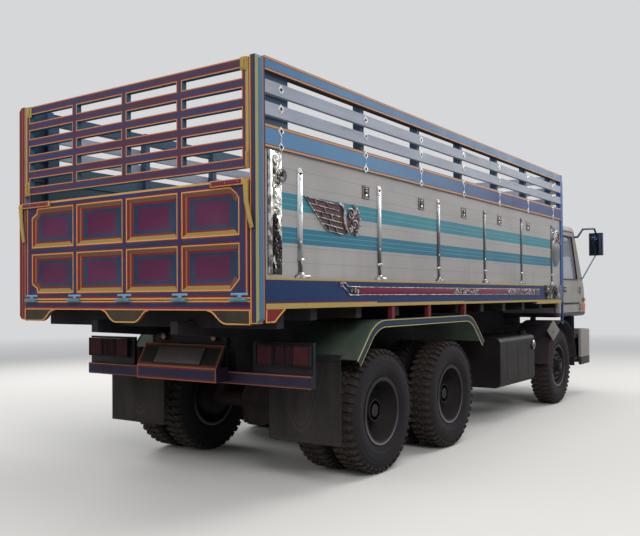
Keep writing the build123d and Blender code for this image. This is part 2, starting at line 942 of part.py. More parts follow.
def ring_profile(points, x, side):
    """A turned piece about a wheel's axle, from points of distance from the truck and radius."""
    with BuildSketch(Plane.XY.offset(axle_height)) as section:
        with BuildLine():
            Polyline(*[(x + radius, side * y) for y, radius in points], close=True)
        make_face()
    revolve(section.sketch, axis=Axis((x, 0, axle_height), (0, 1, 0)))


def tyre_set(centres, x, side, label):
    """One tyre or two on the same wheel."""
    shoulder = tyre_width / 2 - 25
    bead = rim_half - 12
    with BuildPart() as part:
        for y in centres:
            with BuildSketch(Plane.XY.offset(axle_height)):
                with BuildLine():
                    Polyline(
                        (x + bead_radius, side * (y - bead)), (x + flange_radius + 8, side * (y - bead)),
                        (x + flange_radius + 30, side * (y - bead - 6)),
                        (x + (flange_radius + tyre_radius) / 2, side * (y - tyre_width / 2)),
                        (x + tyre_radius - 45, side * (y - tyre_width / 2 + 6)),
                        (x + tyre_radius - 12, side * (y - shoulder)),
                        (x + tyre_radius, side * (y - shoulder + 22)),
                        (x + tyre_radius, side * (y + shoulder - 22)),
                        (x + tyre_radius - 12, side * (y + shoulder)),
                        (x + tyre_radius - 45, side * (y + tyre_width / 2 - 6)),
                        (x + (flange_radius + tyre_radius) / 2, side * (y + tyre_width / 2)),
                        (x + flange_radius + 30, side * (y + bead + 6)),
                        (x + flange_radius + 8, side * (y + bead)), (x + bead_radius, side * (y + bead)),
                        close=True,
                    )
                make_face()
            revolve(axis=Axis((x, 0, axle_height), (0, 1, 0)))
    part.part.label = label
    return part


def barrel(centre, x, side):
    """A rim's barrel with a flange at each edge, in the part that is being built."""
    inner = barrel_radius - barrel_wall
    ring_profile(
        (
            (centre - rim_half, inner), (centre - rim_half, flange_radius),
            (centre - rim_half + 10, flange_radius), (centre - rim_half + 10, barrel_radius),
            (centre + rim_half - 10, barrel_radius), (centre + rim_half - 10, flange_radius),
            (centre + rim_half, flange_radius), (centre + rim_half, inner),
        ),
        x, side,
    )


hand_hole_radius = 30
hand_hole_circle = 185
hand_hole_count = 8
front_disc_y = front_tyre_y + 60
front_drum_inner = kingpin_y + fork_plate_inner + fork_plate + 12
front_drum_radius = 165
barrel_inner = barrel_radius - barrel_wall
disc_rim = 176
disc_bore = 40
dish_run = 88
dish_width = 17


def dish(middle, outward, x, side):
    """A disc and the cone that joins it to its barrel, on one side of the bolted face."""
    near = middle
    far = middle + outward * disc_thickness
    ring_profile(
        (
            (near, disc_bore), (far, disc_bore), (far, disc_rim),
            (middle + outward * (dish_run + dish_width), barrel_inner + 2),
            (middle + outward * dish_run, barrel_inner + 2), (near, disc_rim + 6),
        ),
        x, side,
    )


def front_wheel(label):
    """The right front wheel: its disc bulges outwards, with its hub and its drum."""
    x = front_x
    with BuildPart() as part:
        barrel(front_tyre_y, x, -1)
        dish(front_disc_y + disc_thickness, -1, x, -1)
        with Locations(Plane(origin=(x, -front_tyre_y, axle_height), z_dir=(0, -1, 0))):
            with PolarLocations(hand_hole_circle + 24, hand_hole_count):
                Cylinder(
                    hand_hole_radius * 0.6, 2 * rim_half,
                    align=(Align.CENTER, Align.CENTER, Align.CENTER), mode=Mode.SUBTRACT,
                )
        rod(
            (x, -front_drum_inner, axle_height), (x, -(front_disc_y + 2), axle_height),
            front_drum_radius,
        )
        rod((x, -front_disc_y, axle_height), (x, -front_hub_face, axle_height), 82)
        rod(
            (x, -kingpin_y, axle_height), (x, -(front_hub_face - 45), axle_height),
            front_spindle_radius + running_gap, mode=Mode.SUBTRACT,
        )
    part.part.label = label
    return part


twin_middle = outer_tyre_y - twin_spacing / 2
rear_drum_inner = housing_end + 15
rear_hub_radius = 88


def rear_wheel(place, label):
    """Two right rims back to back on one hub, with the brake drum inside the inner one."""
    x = along(place)
    with BuildPart() as part:
        for centre, outward in ((outer_tyre_y, 1), (outer_tyre_y - twin_spacing, -1)):
            barrel(centre, x, -1)
            dish(twin_middle, outward, x, -1)
        rod((x, -rear_drum_inner, axle_height), (x, -twin_middle, axle_height), drum_radius - 40)
        rod((x, -twin_middle, axle_height), (x, -hub_face, axle_height), rear_hub_radius)
        rod(
            (x, -(housing_end - 10), axle_height), (x, -(hub_face - 35), axle_height),
            spindle_radius + running_gap, mode=Mode.SUBTRACT,
        )
    part.part.label = label
    return part


def left_copy(right_piece, label):
    """The same piece on the other side of the truck."""
    with BuildPart() as part:
        add(mirror(right_piece.part, about=Plane.XZ, mode=Mode.PRIVATE))
    part.part.label = label
    return part


twins = (outer_tyre_y - twin_spacing, outer_tyre_y)
right_pieces = [
    (tyre_set((front_tyre_y,), front_x, -1, "tyre_front_right"), "tyre_front_left"),
    (front_wheel("wheel_front_right"), "wheel_front_left"),
]
for number, place in enumerate(rear_axle_places, start=1):
    for right_piece, name in (
        (tyre_set(twins, along(place), -1, f"tyres_rear_{number}_right"), f"tyres_rear_{number}"),
        (rear_wheel(place, f"wheels_rear_{number}_right"), f"wheels_rear_{number}"),
    ):
        right_pieces.append((right_piece, name + "_left"))

wheel_pieces = []
for right_piece, left_name in right_pieces:
    wheel_pieces += [right_piece, left_copy(right_piece, left_name)]

# Engine block between the rails, gearbox behind it and the two propeller shafts
engine_rear = front_axle_place - 407
engine_length = 1150
engine_front = engine_rear + engine_length
engine_half = 330
engine_bottom = 620
engine_top = 1110
engine_mount_places = (engine_rear + 100, engine_rear + 950)
engine_mount_size = 70
gearbox_length = 600
gearbox_rear = engine_rear - gearbox_length
gearbox_half = 170
shaft_radius = 50
shaft_z = 700
shaft_yoke = 60
case_shaft_z = axle_height + 40

with BuildPart() as engine_block:
    block(
        along(engine_rear), along(engine_front), -engine_half, engine_half,
        engine_bottom, engine_top,
    )
    for side in (1, -1):
        for place in engine_mount_places:
            block(
                along(place), along(place) + engine_mount_size,
                side * engine_half, side * (rail_outer - rail_web),
                rail_bottom + engine_mount_size, rail_bottom + 2 * engine_mount_size,
            )
engine_block.part.label = "engine_block"

with BuildPart() as driveline:
    block(
        along(gearbox_rear), along(engine_rear), -gearbox_half, gearbox_half,
        engine_bottom, engine_bottom + 320,
    )
    front_case = along(rear_axle_places[1]) + case_half
    rod((front_case, 0, case_shaft_z), (front_case + shaft_yoke, 0, case_shaft_z), shaft_radius)
    rod((front_case + shaft_yoke, 0, case_shaft_z), (along(gearbox_rear), 0, shaft_z), shaft_radius)
    rod(
        (along(rear_axle_places[0]) + case_half, 0, case_shaft_z),
        (along(rear_axle_places[1]) - case_half, 0, case_shaft_z), shaft_radius,
    )
driveline.part.label = "driveline"

# Fuel tank, battery box, air tanks and exhaust hung on the rails
wheels_end = rear_axle_places[1] + tyre_radius
wheels_start = front_axle_place - tyre_radius
tank_rear = wheels_end + 0.36 * (wheels_start - wheels_end)
tank_length = 0.45 * (wheels_start - wheels_end)
strap_inset = 150
cap_inset = 200
cap_radius = 45
tank_front = tank_rear + tank_length
tank_inner = rail_outer + 60
tank_outer = 1130
tank_low = 400
tank_high = 960
strap_size = 40

with BuildPart() as fuel_tank:
    block(
        along(tank_rear), along(tank_front), -tank_outer, -tank_inner, tank_low, tank_high,
    )
    fillet(fuel_tank.edges().filter_by(Axis.X), radius=70)
    for place in (tank_rear + strap_inset, tank_front - strap_inset - strap_size):
        block(
            along(place), along(place) + strap_size, -(tank_inner + 80), -rail_outer,
            tank_high - 260, tank_high - 140,
        )
    rod(
        (along(tank_front) - cap_inset, 2 * cap_radius - tank_outer, tank_high - 5),
        (along(tank_front) - cap_inset, 2 * cap_radius - tank_outer, tank_high + cap_radius),
        cap_radius,
    )
fuel_tank.part.label = "fuel_tank"

battery_length = 560
battery_inset = 60
battery_lift = 150

with BuildPart() as battery_box:
    block(
        along(tank_rear), along(tank_rear) + battery_length, rail_outer, tank_outer - battery_inset,
        tank_low + battery_lift, tank_high,
    )
battery_box.part.label = "battery_box"

air_tank_radius = 130
air_tank_length = 720
air_tank_gap = 80
air_tank_pitch = 290
air_tank_out = 200
air_strap = 60

with BuildPart() as air_tanks:
    air_rear = along(tank_rear) + battery_length + air_tank_gap
    y = rail_outer + air_tank_out
    for row in range(2):
        z = tank_low + battery_lift + air_tank_radius + row * air_tank_pitch
        rod((air_rear, y, z), (air_rear + air_tank_length, y, z), air_tank_radius)
    air_middle = air_rear + air_tank_length / 2
    block(
        air_middle - air_strap, air_middle, rail_outer, y,
        tank_low + battery_lift + air_tank_radius, tank_high,
    )
air_tanks.part.label = "air_tanks"

silencer_radius = 120
silencer_gap = 50
silencer_z = 640
silencer_out = 220
hanger_width = 40
hanger_lap = 60

with BuildPart() as exhaust:
    x0 = along(wheels_end + 2 * silencer_gap)
    x1 = along(tank_rear - silencer_gap)
    y = -(rail_outer + silencer_out)
    rod((x0, y, silencer_z), (x1, y, silencer_z), silencer_radius)
    for share in (0.3, 0.7):
        hanger = x0 + share * (x1 - x0) - hanger_width / 2
        block(hanger, hanger + hanger_width, y, -rail_outer, silencer_z, rail_bottom + hanger_lap)
exhaust.part.label = "exhaust"

# Cab: hollow shell with the openings cut, leaning windscreen and rounded corners
cab_rear = body_front + cab_gap
cab_front = cab_rear + cab_length
cab_half = 1150
cab_wall = 45
cab_bottom = 1130
cab_top = 2370
screen_top = (cab_front - 560, cab_top)
screen_foot = (cab_front - 60, 1540)
corner_round = 70
roof_round = 95
brow_round = 170
cab_outline = (
    (cab_rear, cab_bottom), (cab_rear, cab_top), screen_top, screen_foot, (cab_front, cab_bottom),
)
screen_low = screen_foot[1] + 40
screen_high = cab_top - 110
screen_half = cab_half - 115
rear_window_half = 480
rear_window_low = 1750
rear_window_high = 2200

door_rear = cab_rear + 150
door_front = cab_front - 330
door_low = cab_bottom + 60
door_high = cab_top - 90
door_front_top = screen_top[0] - 70
door_belt = 1620
window_frame = 55


def door_outline(inset):
    """The door's outline in X and Z, drawn in by an even margin."""
    return (
        (door_rear + inset, door_low + inset), (door_rear + inset, door_high - inset),
        (door_front_top - inset * 1.3, door_high - inset), (door_front - inset, door_belt - inset * 0.2),
        (door_front - inset, door_low + inset),
    )


def window_outline(inset):
    """The door window's outline in X and Z, drawn in by an even margin."""
    frame = window_frame + inset
    return (
        (door_rear + frame, door_belt + 20 + inset), (door_rear + frame, door_high - frame),
        (door_front_top - frame * 1.3, door_high - frame),
        (door_front - frame * 1.5 - 30, door_belt + 20 + inset),
    )


door_hinge_zs = (1240, 1480)
door_hinge_pin = 6
door_hinge_radius = 12
door_hinge_x = door_front
door_hinge_proud = 14
door_knuckle = 28
hinge_leaf = 34
hinge_leaf_thickness = 8

with BuildPart() as cab_shell:
    with BuildSketch(Plane.XZ) as cab_side:
        with BuildLine():
            Polyline(*cab_outline, close=True)
        make_face()
        corners = cab_side.vertices()
        fillet(corners.sort_by_distance(Vector(cab_rear, 0, cab_top))[0], radius=roof_round)
        fillet(
            corners.sort_by_distance(Vector(screen_top[0], 0, screen_top[1]))[0], radius=brow_round,
        )
    extrude(amount=cab_half, both=True)
    for face in (cab_shell.faces().sort_by(Axis.Y)[-1], cab_shell.faces().sort_by(Axis.Y)[0]):
        rounded = face.edges().filter_by(lambda e: e.center().Z > cab_bottom + 1)
        fillet(rounded, radius=corner_round)
    with BuildSketch(Plane.XZ):
        with BuildLine():
            Polyline(*cab_outline, close=True)
        make_face()
        offset(amount=-cab_wall, kind=Kind.INTERSECTION, mode=Mode.REPLACE)
    extrude(amount=cab_half - cab_wall, both=True, mode=Mode.SUBTRACT)
    block(
        screen_top[0] - 100, cab_front + 10, -screen_half, screen_half, screen_low, screen_high,
        mode=Mode.SUBTRACT,
    )
    block(
        cab_rear - 10, cab_rear + cab_wall + 10, -rear_window_half, rear_window_half,
        rear_window_low, rear_window_high, mode=Mode.SUBTRACT,
    )
    prism(door_outline(-moving_gap), -cab_half - 10, -(cab_half - cab_wall - 10), mode=Mode.SUBTRACT)
    prism(door_outline(-moving_gap), cab_half - cab_wall - 10, cab_half + 10, mode=Mode.SUBTRACT)
    for side in (1, -1):
        axis_y = side * (cab_half + door_hinge_proud)
        for z in door_hinge_zs:
            for low in (z - 1 - door_knuckle, z + door_knuckle + 1):
                rod(
                    (door_hinge_x, axis_y, low), (door_hinge_x, axis_y, low + door_knuckle),
                    door_hinge_radius,
                )
                block(
                    door_hinge_x, door_hinge_x + hinge_leaf, side * cab_half,
                    side * (cab_half + hinge_leaf_thickness), low, low + door_knuckle,
                )
            rod(
                (door_hinge_x, axis_y, z - door_knuckle),
                (door_hinge_x, axis_y, z + 2 * door_knuckle), door_hinge_pin,
            )
cab_shell.part.label = "cab_shell"


def door(side, label):
    """A cab door with its window cut, its handle and its hinge knuckles."""
    inner = cab_half - cab_wall
    low_y, high_y = sorted((side * inner, side * cab_half))
    axis_y = side * (cab_half + door_hinge_proud)
    with BuildPart() as part:
        prism(door_outline(0), low_y, high_y)
        prism(window_outline(0), low_y - 10, high_y + 10, mode=Mode.SUBTRACT)
        block(
            door_rear + 60, door_rear + 200, side * cab_half, side * (cab_half + 22),
            door_belt - 130, door_belt - 105,
        )
        for z in door_hinge_zs:
            rod(
                (door_hinge_x, axis_y, z), (door_hinge_x, axis_y, z + door_knuckle),
                door_hinge_radius,
            )
            block(
                door_hinge_x - hinge_leaf, door_hinge_x, side * cab_half,
                side * (cab_half + door_hinge_proud), z, z + door_knuckle,
            )
            rod(
                (door_hinge_x, axis_y, z - 10), (door_hinge_x, axis_y, z + door_knuckle + 10),
                door_hinge_pin + running_gap, mode=Mode.SUBTRACT,
            )
    part.part.label = label
    return part


def door_pane(side, label):
    """The glass of one door's window."""
    glass_low, glass_high = sorted((side * (cab_half - 28), side * (cab_half - 22)))
    with BuildPart() as part:
        prism(window_outline(running_gap), glass_low, glass_high)
    part.part.label = label
    return part


door_left = door(1, "door_left")
door_right = door(-1, "door_right")
door_glass_left = door_pane(1, "door_glass_left")
door_glass_right = door_pane(-1, "door_glass_right")

# Fixed glass: the windscreen, on the slope of its opening, and the rear window
glass_set_back = 15
glass_thickness = 6

with BuildPart() as cab_glass:
    with BuildSketch(Plane.XZ):
        with BuildLine():
            Polyline(*cab_outline, close=True)
        make_face()
        offset(amount=-glass_set_back, kind=Kind.INTERSECTION, mode=Mode.REPLACE)
    extrude(amount=screen_half - running_gap, both=True)
    with BuildSketch(Plane.XZ):
        with BuildLine():
            Polyline(*cab_outline, close=True)
        make_face()
        offset(amount=-(glass_set_back + glass_thickness), kind=Kind.INTERSECTION, mode=Mode.REPLACE)
    extrude(amount=screen_half, both=True, mode=Mode.SUBTRACT)
    block(
        screen_top[0] - 100, cab_front + 10, -screen_half, screen_half,
        screen_low + running_gap, screen_high - running_gap, mode=Mode.INTERSECT,
    )
    block(
        cab_rear + glass_set_back, cab_rear + glass_set_back + glass_thickness,
        -(rear_window_half - running_gap), rear_window_half - running_gap,
        rear_window_low + running_gap, rear_window_high - running_gap,
    )
cab_glass.part.label = "cab_glass"

# Inside the cab: two seats, the dashboard and the steering wheel on its column
cab_floor = cab_bottom + cab_wall
seat_from_side = 590
seat_y = cab_half - seat_from_side
seat_half = 250
seat_from_rear = 120
seat_rear = cab_rear + seat_from_rear
seat_length = 540
seat_top = 1510
seat_back_top = 2010
seat_pad = 130
seat_back_depth = 110
seat_overhang = 90

with BuildPart() as seats:
    for side in (1, -1):
        prism(
            (
                (seat_rear, cab_floor), (seat_rear, seat_back_top),
                (seat_rear + seat_back_depth, seat_back_top),
                (seat_rear + 1.36 * seat_back_depth, seat_top - 20),
                (seat_rear + seat_length, seat_top), (seat_rear + seat_length, seat_top - seat_pad),
                (seat_rear + seat_length - seat_overhang, seat_top - 1.3 * seat_pad),
                (seat_rear + seat_length - seat_overhang, cab_floor),
            ),
            side * seat_y - seat_half, side * seat_y + seat_half,
        )
seats.part.label = "seats"

dash_top = 1570
dash_waist = 1440
dash_rear = cab_front - 330
dash_waist_rear = cab_front - 370
dash_front = cab_front - 120
helm_y = -seat_y
helm_radius = 215
helm_rim = 14
helm_tilt = 38
helm_height = 1730
helm_centre = Vector(cab_front - 480, helm_y, helm_height)
column_radius = 24
column_length = 300
helm_axis = Vector(-sin(radians(helm_tilt)), 0, cos(radians(helm_tilt)))
column_foot = helm_centre - helm_axis * column_length
dash_half = cab_half - cab_wall - 20

with BuildPart() as dashboard:
    prism(
        (
            (dash_rear, cab_floor), (dash_waist_rear, dash_waist), (dash_waist_rear + 25, dash_top),
            (dash_front - 50, dash_top - 15), (dash_front, dash_waist), (dash_front, cab_floor),
        ),
        -dash_half, dash_half,
    )
    rod(
        column_foot, helm_centre, column_radius + running_gap,
        mode=Mode.SUBTRACT,
    )
dashboard.part.label = "dashboard"

with BuildPart() as steering_wheel:
    with Locations(Plane(origin=helm_centre, x_dir=(0, 1, 0), z_dir=helm_axis)):
        Torus(helm_radius, helm_rim)
        Cylinder(2 * column_radius, 2 * helm_rim)
        Box(2 * helm_radius - helm_rim, 34, helm_rim)
    rod(column_foot + helm_axis * 5, helm_centre, column_radius)
steering_wheel.part.label = "steering_wheel"

# Cab front: grille, headlamps, bumper, steps, fenders and mirrors
grille_half = cab_half - 510
grille_low = 1170
grille_high = 1420
grille_bars = 5
grille_depth = 18


def front_at(z):
    """How far forward the cab's front panel stands at a height."""
    slope = (cab_front - screen_foot[0]) / (screen_foot[1] - cab_bottom)
    return cab_front - slope * (z - cab_bottom)


def front_strip(low, high, half, depth):
    """A flat strip on the leaning front panel, in the part that is being built."""
    prism(
        (
            (front_at(low), low), (front_at(low) + depth, low),
            (front_at(high) + depth, high), (front_at(high), high),
        ),
        -half, half,
    )


with BuildPart() as grille:
    bar_pitch = (grille_high - grille_low) / grille_bars
    front_strip(grille_low, grille_high, grille_half, grille_depth / 2)
    for n in range(grille_bars):
        low = grille_low + n * bar_pitch
        front_strip(low, low + bar_pitch * 0.55, grille_half, grille_depth)
grille.part.label = "grille"

bumper_low = 450
bumper_high = 940
bumper_half = cab_half + 40
bumper_depth = 90
bumper_wrap = 480
bumper_front = cab_front + bumper_reach
headlamp_low = 690
headlamp_high = 860
headlamp_inner = bumper_half - 550
headlamp_outer = bumper_half - 230

with BuildPart() as front_bumper:
    block(
        bumper_front - bumper_depth, bumper_front, -bumper_half, bumper_half,
        bumper_low, bumper_high,
    )
    for side in (1, -1):
        block(
            bumper_front - bumper_wrap, bumper_front, side * (bumper_half - 40),
            side * bumper_half, bumper_low, bumper_high,
        )
    fillet(
        front_bumper.edges().filter_by(Axis.Z).group_by(Axis.X)[-1], radius=80,
    )
    for side in (1, -1):
        block(
            bumper_front - 30, bumper_front + 10, side * headlamp_inner, side * headlamp_outer,
            headlamp_low, headlamp_high, mode=Mode.SUBTRACT,
        )
        block(
            along(frame_front) - 60, bumper_front - bumper_depth + 5,
            side * (rail_outer + 30), side * rail_outer, rail_bottom, bumper_high - 40,
        )
front_bumper.part.label = "front_bumper"

with BuildPart() as headlamps:
    for side in (1, -1):
        block(
            bumper_front - 30, bumper_front - 6,
            side * (headlamp_inner + running_gap), side * (headlamp_outer - running_gap),
            headlamp_low + running_gap, headlamp_high - running_gap,
        )
headlamps.part.label = "headlamps"

fender_radius = 585
fender_thickness = 10
fender_inner = cab_half - 450
fender_outer = cab_half + 30
fender_skirt = 60

with BuildPart() as front_fenders:
    for side in (1, -1):
        far = fender_outer if side > 0 else -fender_inner
        with BuildSketch(Plane.XZ.offset(-far)):
            with Locations((front_x, axle_height)):
                Circle(fender_radius + fender_thickness)
                Circle(fender_radius, mode=Mode.SUBTRACT)
            with Locations((front_x, axle_height + fender_skirt)):
                Rectangle(
                    3 * fender_radius, 2 * fender_radius,
                    align=(Align.CENTER, Align.MAX), mode=Mode.SUBTRACT,
                )
        extrude(amount=fender_outer - fender_inner)
        block(
            front_x - 60, front_x + 60, side * (fender_inner + 60), side * (fender_inner + 100),
            axle_height + fender_radius + 2, cab_bottom,
        )
front_fenders.part.label = "front_fenders"

step_clearance = 110
step_rear = front_x + tyre_radius + step_clearance
step_front = bumper_front - bumper_depth
step_from_side = 190
step_inner = cab_half - step_from_side
step_inset = 45
step_outer = bumper_half - step_inset
step_plate = 20
tread_thickness = 30
low_tread = 560
high_tread = 860

with BuildPart() as cab_steps:
    for side in (1, -1):
        block(
            step_rear, step_rear + step_plate, side * step_inner, side * step_outer,
            bumper_low, cab_bottom,
        )
        block(
            step_rear, step_front, side * step_inner, side * (step_inner + step_plate),
            bumper_low, cab_bottom,
        )
        for top in (low_tread, high_tread):
            block(
                step_rear, step_front, side * step_inner, side * step_outer,
                top - tread_thickness, top,
            )
cab_steps.part.label = "cab_steps"

# Mirrors: an arm from the top of the windscreen pillar, a head and a lower stay
mirror_reach = 170
mirror_set_back = 80
mirror_y = cab_half + mirror_reach
mirror_z = 2150
mirror_x = cab_front - mirror_set_back
mirror_width = 185
mirror_height = 320
mirror_depth = 55
arm_radius = 13
stay_radius = 9
arm_foot = (cab_front - 574, 2230)
arm_rise = 115
stay_foot = (cab_front - 250, 1660)
stay_boss = 20
elbow_out = 50
elbow_run = 120

with BuildPart() as mirrors:
    for side in (1, -1):
        head_top = mirror_z + mirror_height / 2
        arm_points = (
            (arm_foot[0], side * cab_half, arm_foot[1]),
            (arm_foot[0], side * (cab_half + elbow_out), arm_foot[1]),
            (arm_foot[0] + elbow_run, side * (cab_half + 1.8 * elbow_out), arm_foot[1] + arm_rise),
            (mirror_x - mirror_width / 2, side * mirror_y, head_top + arm_rise / 2),
            (mirror_x, side * mirror_y, head_top - stay_boss / 2),
        )
        for start, end in zip(arm_points[:-1], arm_points[1:]):
            rod(start, end, arm_radius)
        for point in arm_points[1:-1]:
            with Locations(point):
                Sphere(arm_radius)
        boss_end = (stay_foot[0], side * (cab_half + stay_boss), stay_foot[1])
        rod((stay_foot[0], side * cab_half, stay_foot[1]), boss_end, arm_radius)
        rod(boss_end, (mirror_x, side * mirror_y, mirror_z - mirror_height / 2 + 20), stay_radius)
        block(
            mirror_x - mirror_depth / 2, mirror_x + mirror_depth / 2,
            side * (mirror_y - mirror_width / 2), side * (mirror_y + mirror_width / 2),
            mirror_z - mirror_height / 2, mirror_z + mirror_height / 2,
        )
mirrors.part.label = "mirrors"

pieces = [
    chassis_frame, subframe, floor_bearers, body_floor, corner_posts, side_wall_right, side_wall_left,
    side_rack_right, side_rack_left, headboard, rear_sill, lower_gate, gate_latches,
    upper_gate, side_straps, guard_pipes, mudguards, mudflaps, rear_bumper,
    tail_lamps, plate_board, rear_axles, front_axle, knuckle_right, knuckle_left, track_rod,
    springs, engine_block, driveline, fuel_tank, battery_box, air_tanks, exhaust, cab_shell,
    door_left, door_right, door_glass_left, door_glass_right, cab_glass, seats, dashboard,
    steering_wheel, grille, front_bumper, headlamps, front_fenders, cab_steps, mirrors,
] + wheel_pieces

for piece in pieces:
    export_step(piece.part, f"parts/{piece.part.label}.step")
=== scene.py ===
"""Dresses a ten-wheel cargo truck: painted body, bright trim, tyres, cab and a studio stage."""
import json
import math
import random

import bmesh
import bpy
from bpy.props import FloatProperty, FloatVectorProperty, IntProperty, PointerProperty
from mathutils import Matrix, Vector

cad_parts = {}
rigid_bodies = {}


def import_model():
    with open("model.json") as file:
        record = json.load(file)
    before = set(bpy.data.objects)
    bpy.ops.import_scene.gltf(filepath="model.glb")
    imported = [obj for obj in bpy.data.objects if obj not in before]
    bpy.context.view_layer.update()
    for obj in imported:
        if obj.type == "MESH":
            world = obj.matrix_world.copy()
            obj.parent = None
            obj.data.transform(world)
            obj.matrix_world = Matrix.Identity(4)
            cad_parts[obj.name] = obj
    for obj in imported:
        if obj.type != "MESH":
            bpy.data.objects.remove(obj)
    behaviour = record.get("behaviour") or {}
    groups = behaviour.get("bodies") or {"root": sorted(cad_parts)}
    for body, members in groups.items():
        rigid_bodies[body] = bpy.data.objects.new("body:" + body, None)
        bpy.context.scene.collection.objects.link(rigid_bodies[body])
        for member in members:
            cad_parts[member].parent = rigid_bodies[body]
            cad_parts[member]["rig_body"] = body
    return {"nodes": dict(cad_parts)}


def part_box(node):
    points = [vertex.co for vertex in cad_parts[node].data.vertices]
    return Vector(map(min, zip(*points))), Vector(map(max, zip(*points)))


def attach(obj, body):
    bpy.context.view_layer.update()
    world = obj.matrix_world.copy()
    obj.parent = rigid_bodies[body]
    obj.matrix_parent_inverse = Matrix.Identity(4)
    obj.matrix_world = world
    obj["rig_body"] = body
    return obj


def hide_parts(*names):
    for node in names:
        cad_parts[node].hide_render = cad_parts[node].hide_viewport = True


bl_info = {
    "name": "Ten-wheel cargo truck",
    "version": (1, 0, 0),
    "blender": (4, 5, 0),
    "location": "View3D > Sidebar > Cargo Truck",
    "description": "Paints and trims a ten-wheel cargo truck with a high slatted body",
    "category": "Object",
}

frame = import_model()
nodes = frame["nodes"]
sides = (("right", -1), ("left", 1))

# Places that come from the frame, in metres
rear_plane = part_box("lower_gate")[1].x - 0.045
half_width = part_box("side_wall_left")[1].y
top_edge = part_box("corner_posts")[1].z
cab_low, cab_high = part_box("cab_shell")
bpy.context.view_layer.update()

# Places and sizes that several pieces share, in metres
sill_face, plank_face = -half_width, 0.015 - half_width
sill_top, band_low, band_high = 1.555, 2.387, 2.543
bracket_low, bracket_turn, bracket_high = 1.2545, 1.2955, 1.341
hinge_places = (-1.085, -0.554, 0, 0.554, 1.085)
body_length = 6.222
axle_height, front_axle = 0.5, 2.587
strip_low, strip_high = 1.575, 2.385


def tint(red, green, blue):
    """A colour as it is seen, in steps of 0 to 255, made linear."""
    shares = [value / 255 for value in (red, green, blue)]
    return tuple(s / 12.92 if s <= 0.04045 else ((s + 0.055) / 1.055) ** 2.4 for s in shares)


def along(distance):
    """A place measured forward from the body's rear face."""
    return rear_plane + distance


class TruckColours(bpy.types.PropertyGroup):
    """Paints of the truck, as a user would choose them."""

    def paint(name, about, *rgb):
        return FloatVectorProperty(
            name=name, description=about, subtype="COLOR", min=0, max=1, default=tint(*rgb)
        )

    navy: paint("Navy", "Ground colour of sill, bars and gate frames", 34, 46, 80)
    purple: paint("Purple", "Second ground colour of the rear gates", 64, 42, 62)
    orange: paint("Orange", "Thin outlines of the gates", 186, 134, 72)
    ochre: paint("Ochre", "Broad bands and levers", 154, 130, 70)
    crimson: paint("Crimson", "Inner lines and the long sill inset", 100, 34, 56)
    maroon: paint("Maroon", "Centres of the gate panels", 82, 32, 60)
    teal: paint("Teal", "Stripes on the side panels", 52, 120, 130)
    steel_blue: paint("Steel blue", "Top rail and middle band", 74, 113, 146)
    panel: paint("Panel", "Pale planks of the sides", 150, 148, 146)
    slat: paint("Slat", "Grey upper slats", 142, 149, 160)
    cab: paint("Cab", "Off-white of the cab", 137, 132, 128)
    guard: paint("Guard", "Grey-green skin of the mudguards", 76, 88, 78)
    chassis: paint("Chassis", "Near-black of frame and axles", 28, 27, 31)
    dust: paint("Dust", "Road dust that gathers low down", 80, 68, 60)
    lamp: paint("Lamp", "Red of the tail lamps", 66, 28, 32)


class TruckSizes(bpy.types.PropertyGroup):
    """Sizes of the trim that a user would change."""

    def length(name, about, value):
        return FloatProperty(name=name, description=about, default=value, min=0, unit="LENGTH")

    line: length("Line", "Width of a thin painted line", 0.008)
    tread_depth: length("Tread depth", "Height of the lugs above the casing", 0.015)
    lugs: IntProperty(name="Lugs", description="Shoulder lugs round one tyre", default=44, min=12)
    stud: length("Stud", "Half diagonal of a diamond stud", 0.034)
    nut: length("Nut", "Radius of a wheel nut", 0.017)


class Wire:
    """A node socket that takes part in a formula."""

    def __init__(self, finish, socket):
        self.finish = finish
        self.socket = socket

    def math(self, operation, *terms):
        inputs = dict(enumerate((self,) + terms))
        return self.finish.add("ShaderNodeMath", {"operation": operation}, inputs)

    def flip(self, operation, other):
        return self.finish.add("ShaderNodeMath", {"operation": operation}, {0: other, 1: self})

    def __add__(self, other):
        return self.math("ADD", other)

    def __sub__(self, other):
        return self.math("SUBTRACT", other)

    def __mul__(self, other):
        return self.math("MULTIPLY", other)

    def __truediv__(self, other):
        return self.math("DIVIDE", other)

    def __radd__(self, other):
        return self.flip("ADD", other)

    def __rsub__(self, other):
        return self.flip("SUBTRACT", other)

    def __rmul__(self, other):
        return self.flip("MULTIPLY", other)

    def __neg__(self):
        return self.flip("SUBTRACT", 0.0)

    def __abs__(self):
        return self.math("ABSOLUTE")

    def __gt__(self, other):
        return self.math("GREATER_THAN", other)

    def __lt__(self, other):
        return self.math("LESS_THAN", other)

    def most(self, *others):
        result = self
        for other in others:
            result = result.math("MAXIMUM", other)
        return result

    def least(self, *others):
        result = self
        for other in others:
            result = result.math("MINIMUM", other)
        return result

    def within(self, low, high):
        return (self > low) * (self < high)

    def held(self):
        return self.most(0.0).least(1.0)

    def nearest(self, first, pitch):
        """Distance to the nearest of evenly spaced places."""
        steps = (self - first) / pitch
        return abs(steps - steps.math("ROUND")) * pitch

    def sharpen(self, low, high):
        return ((self - low) / (high - low)).held()


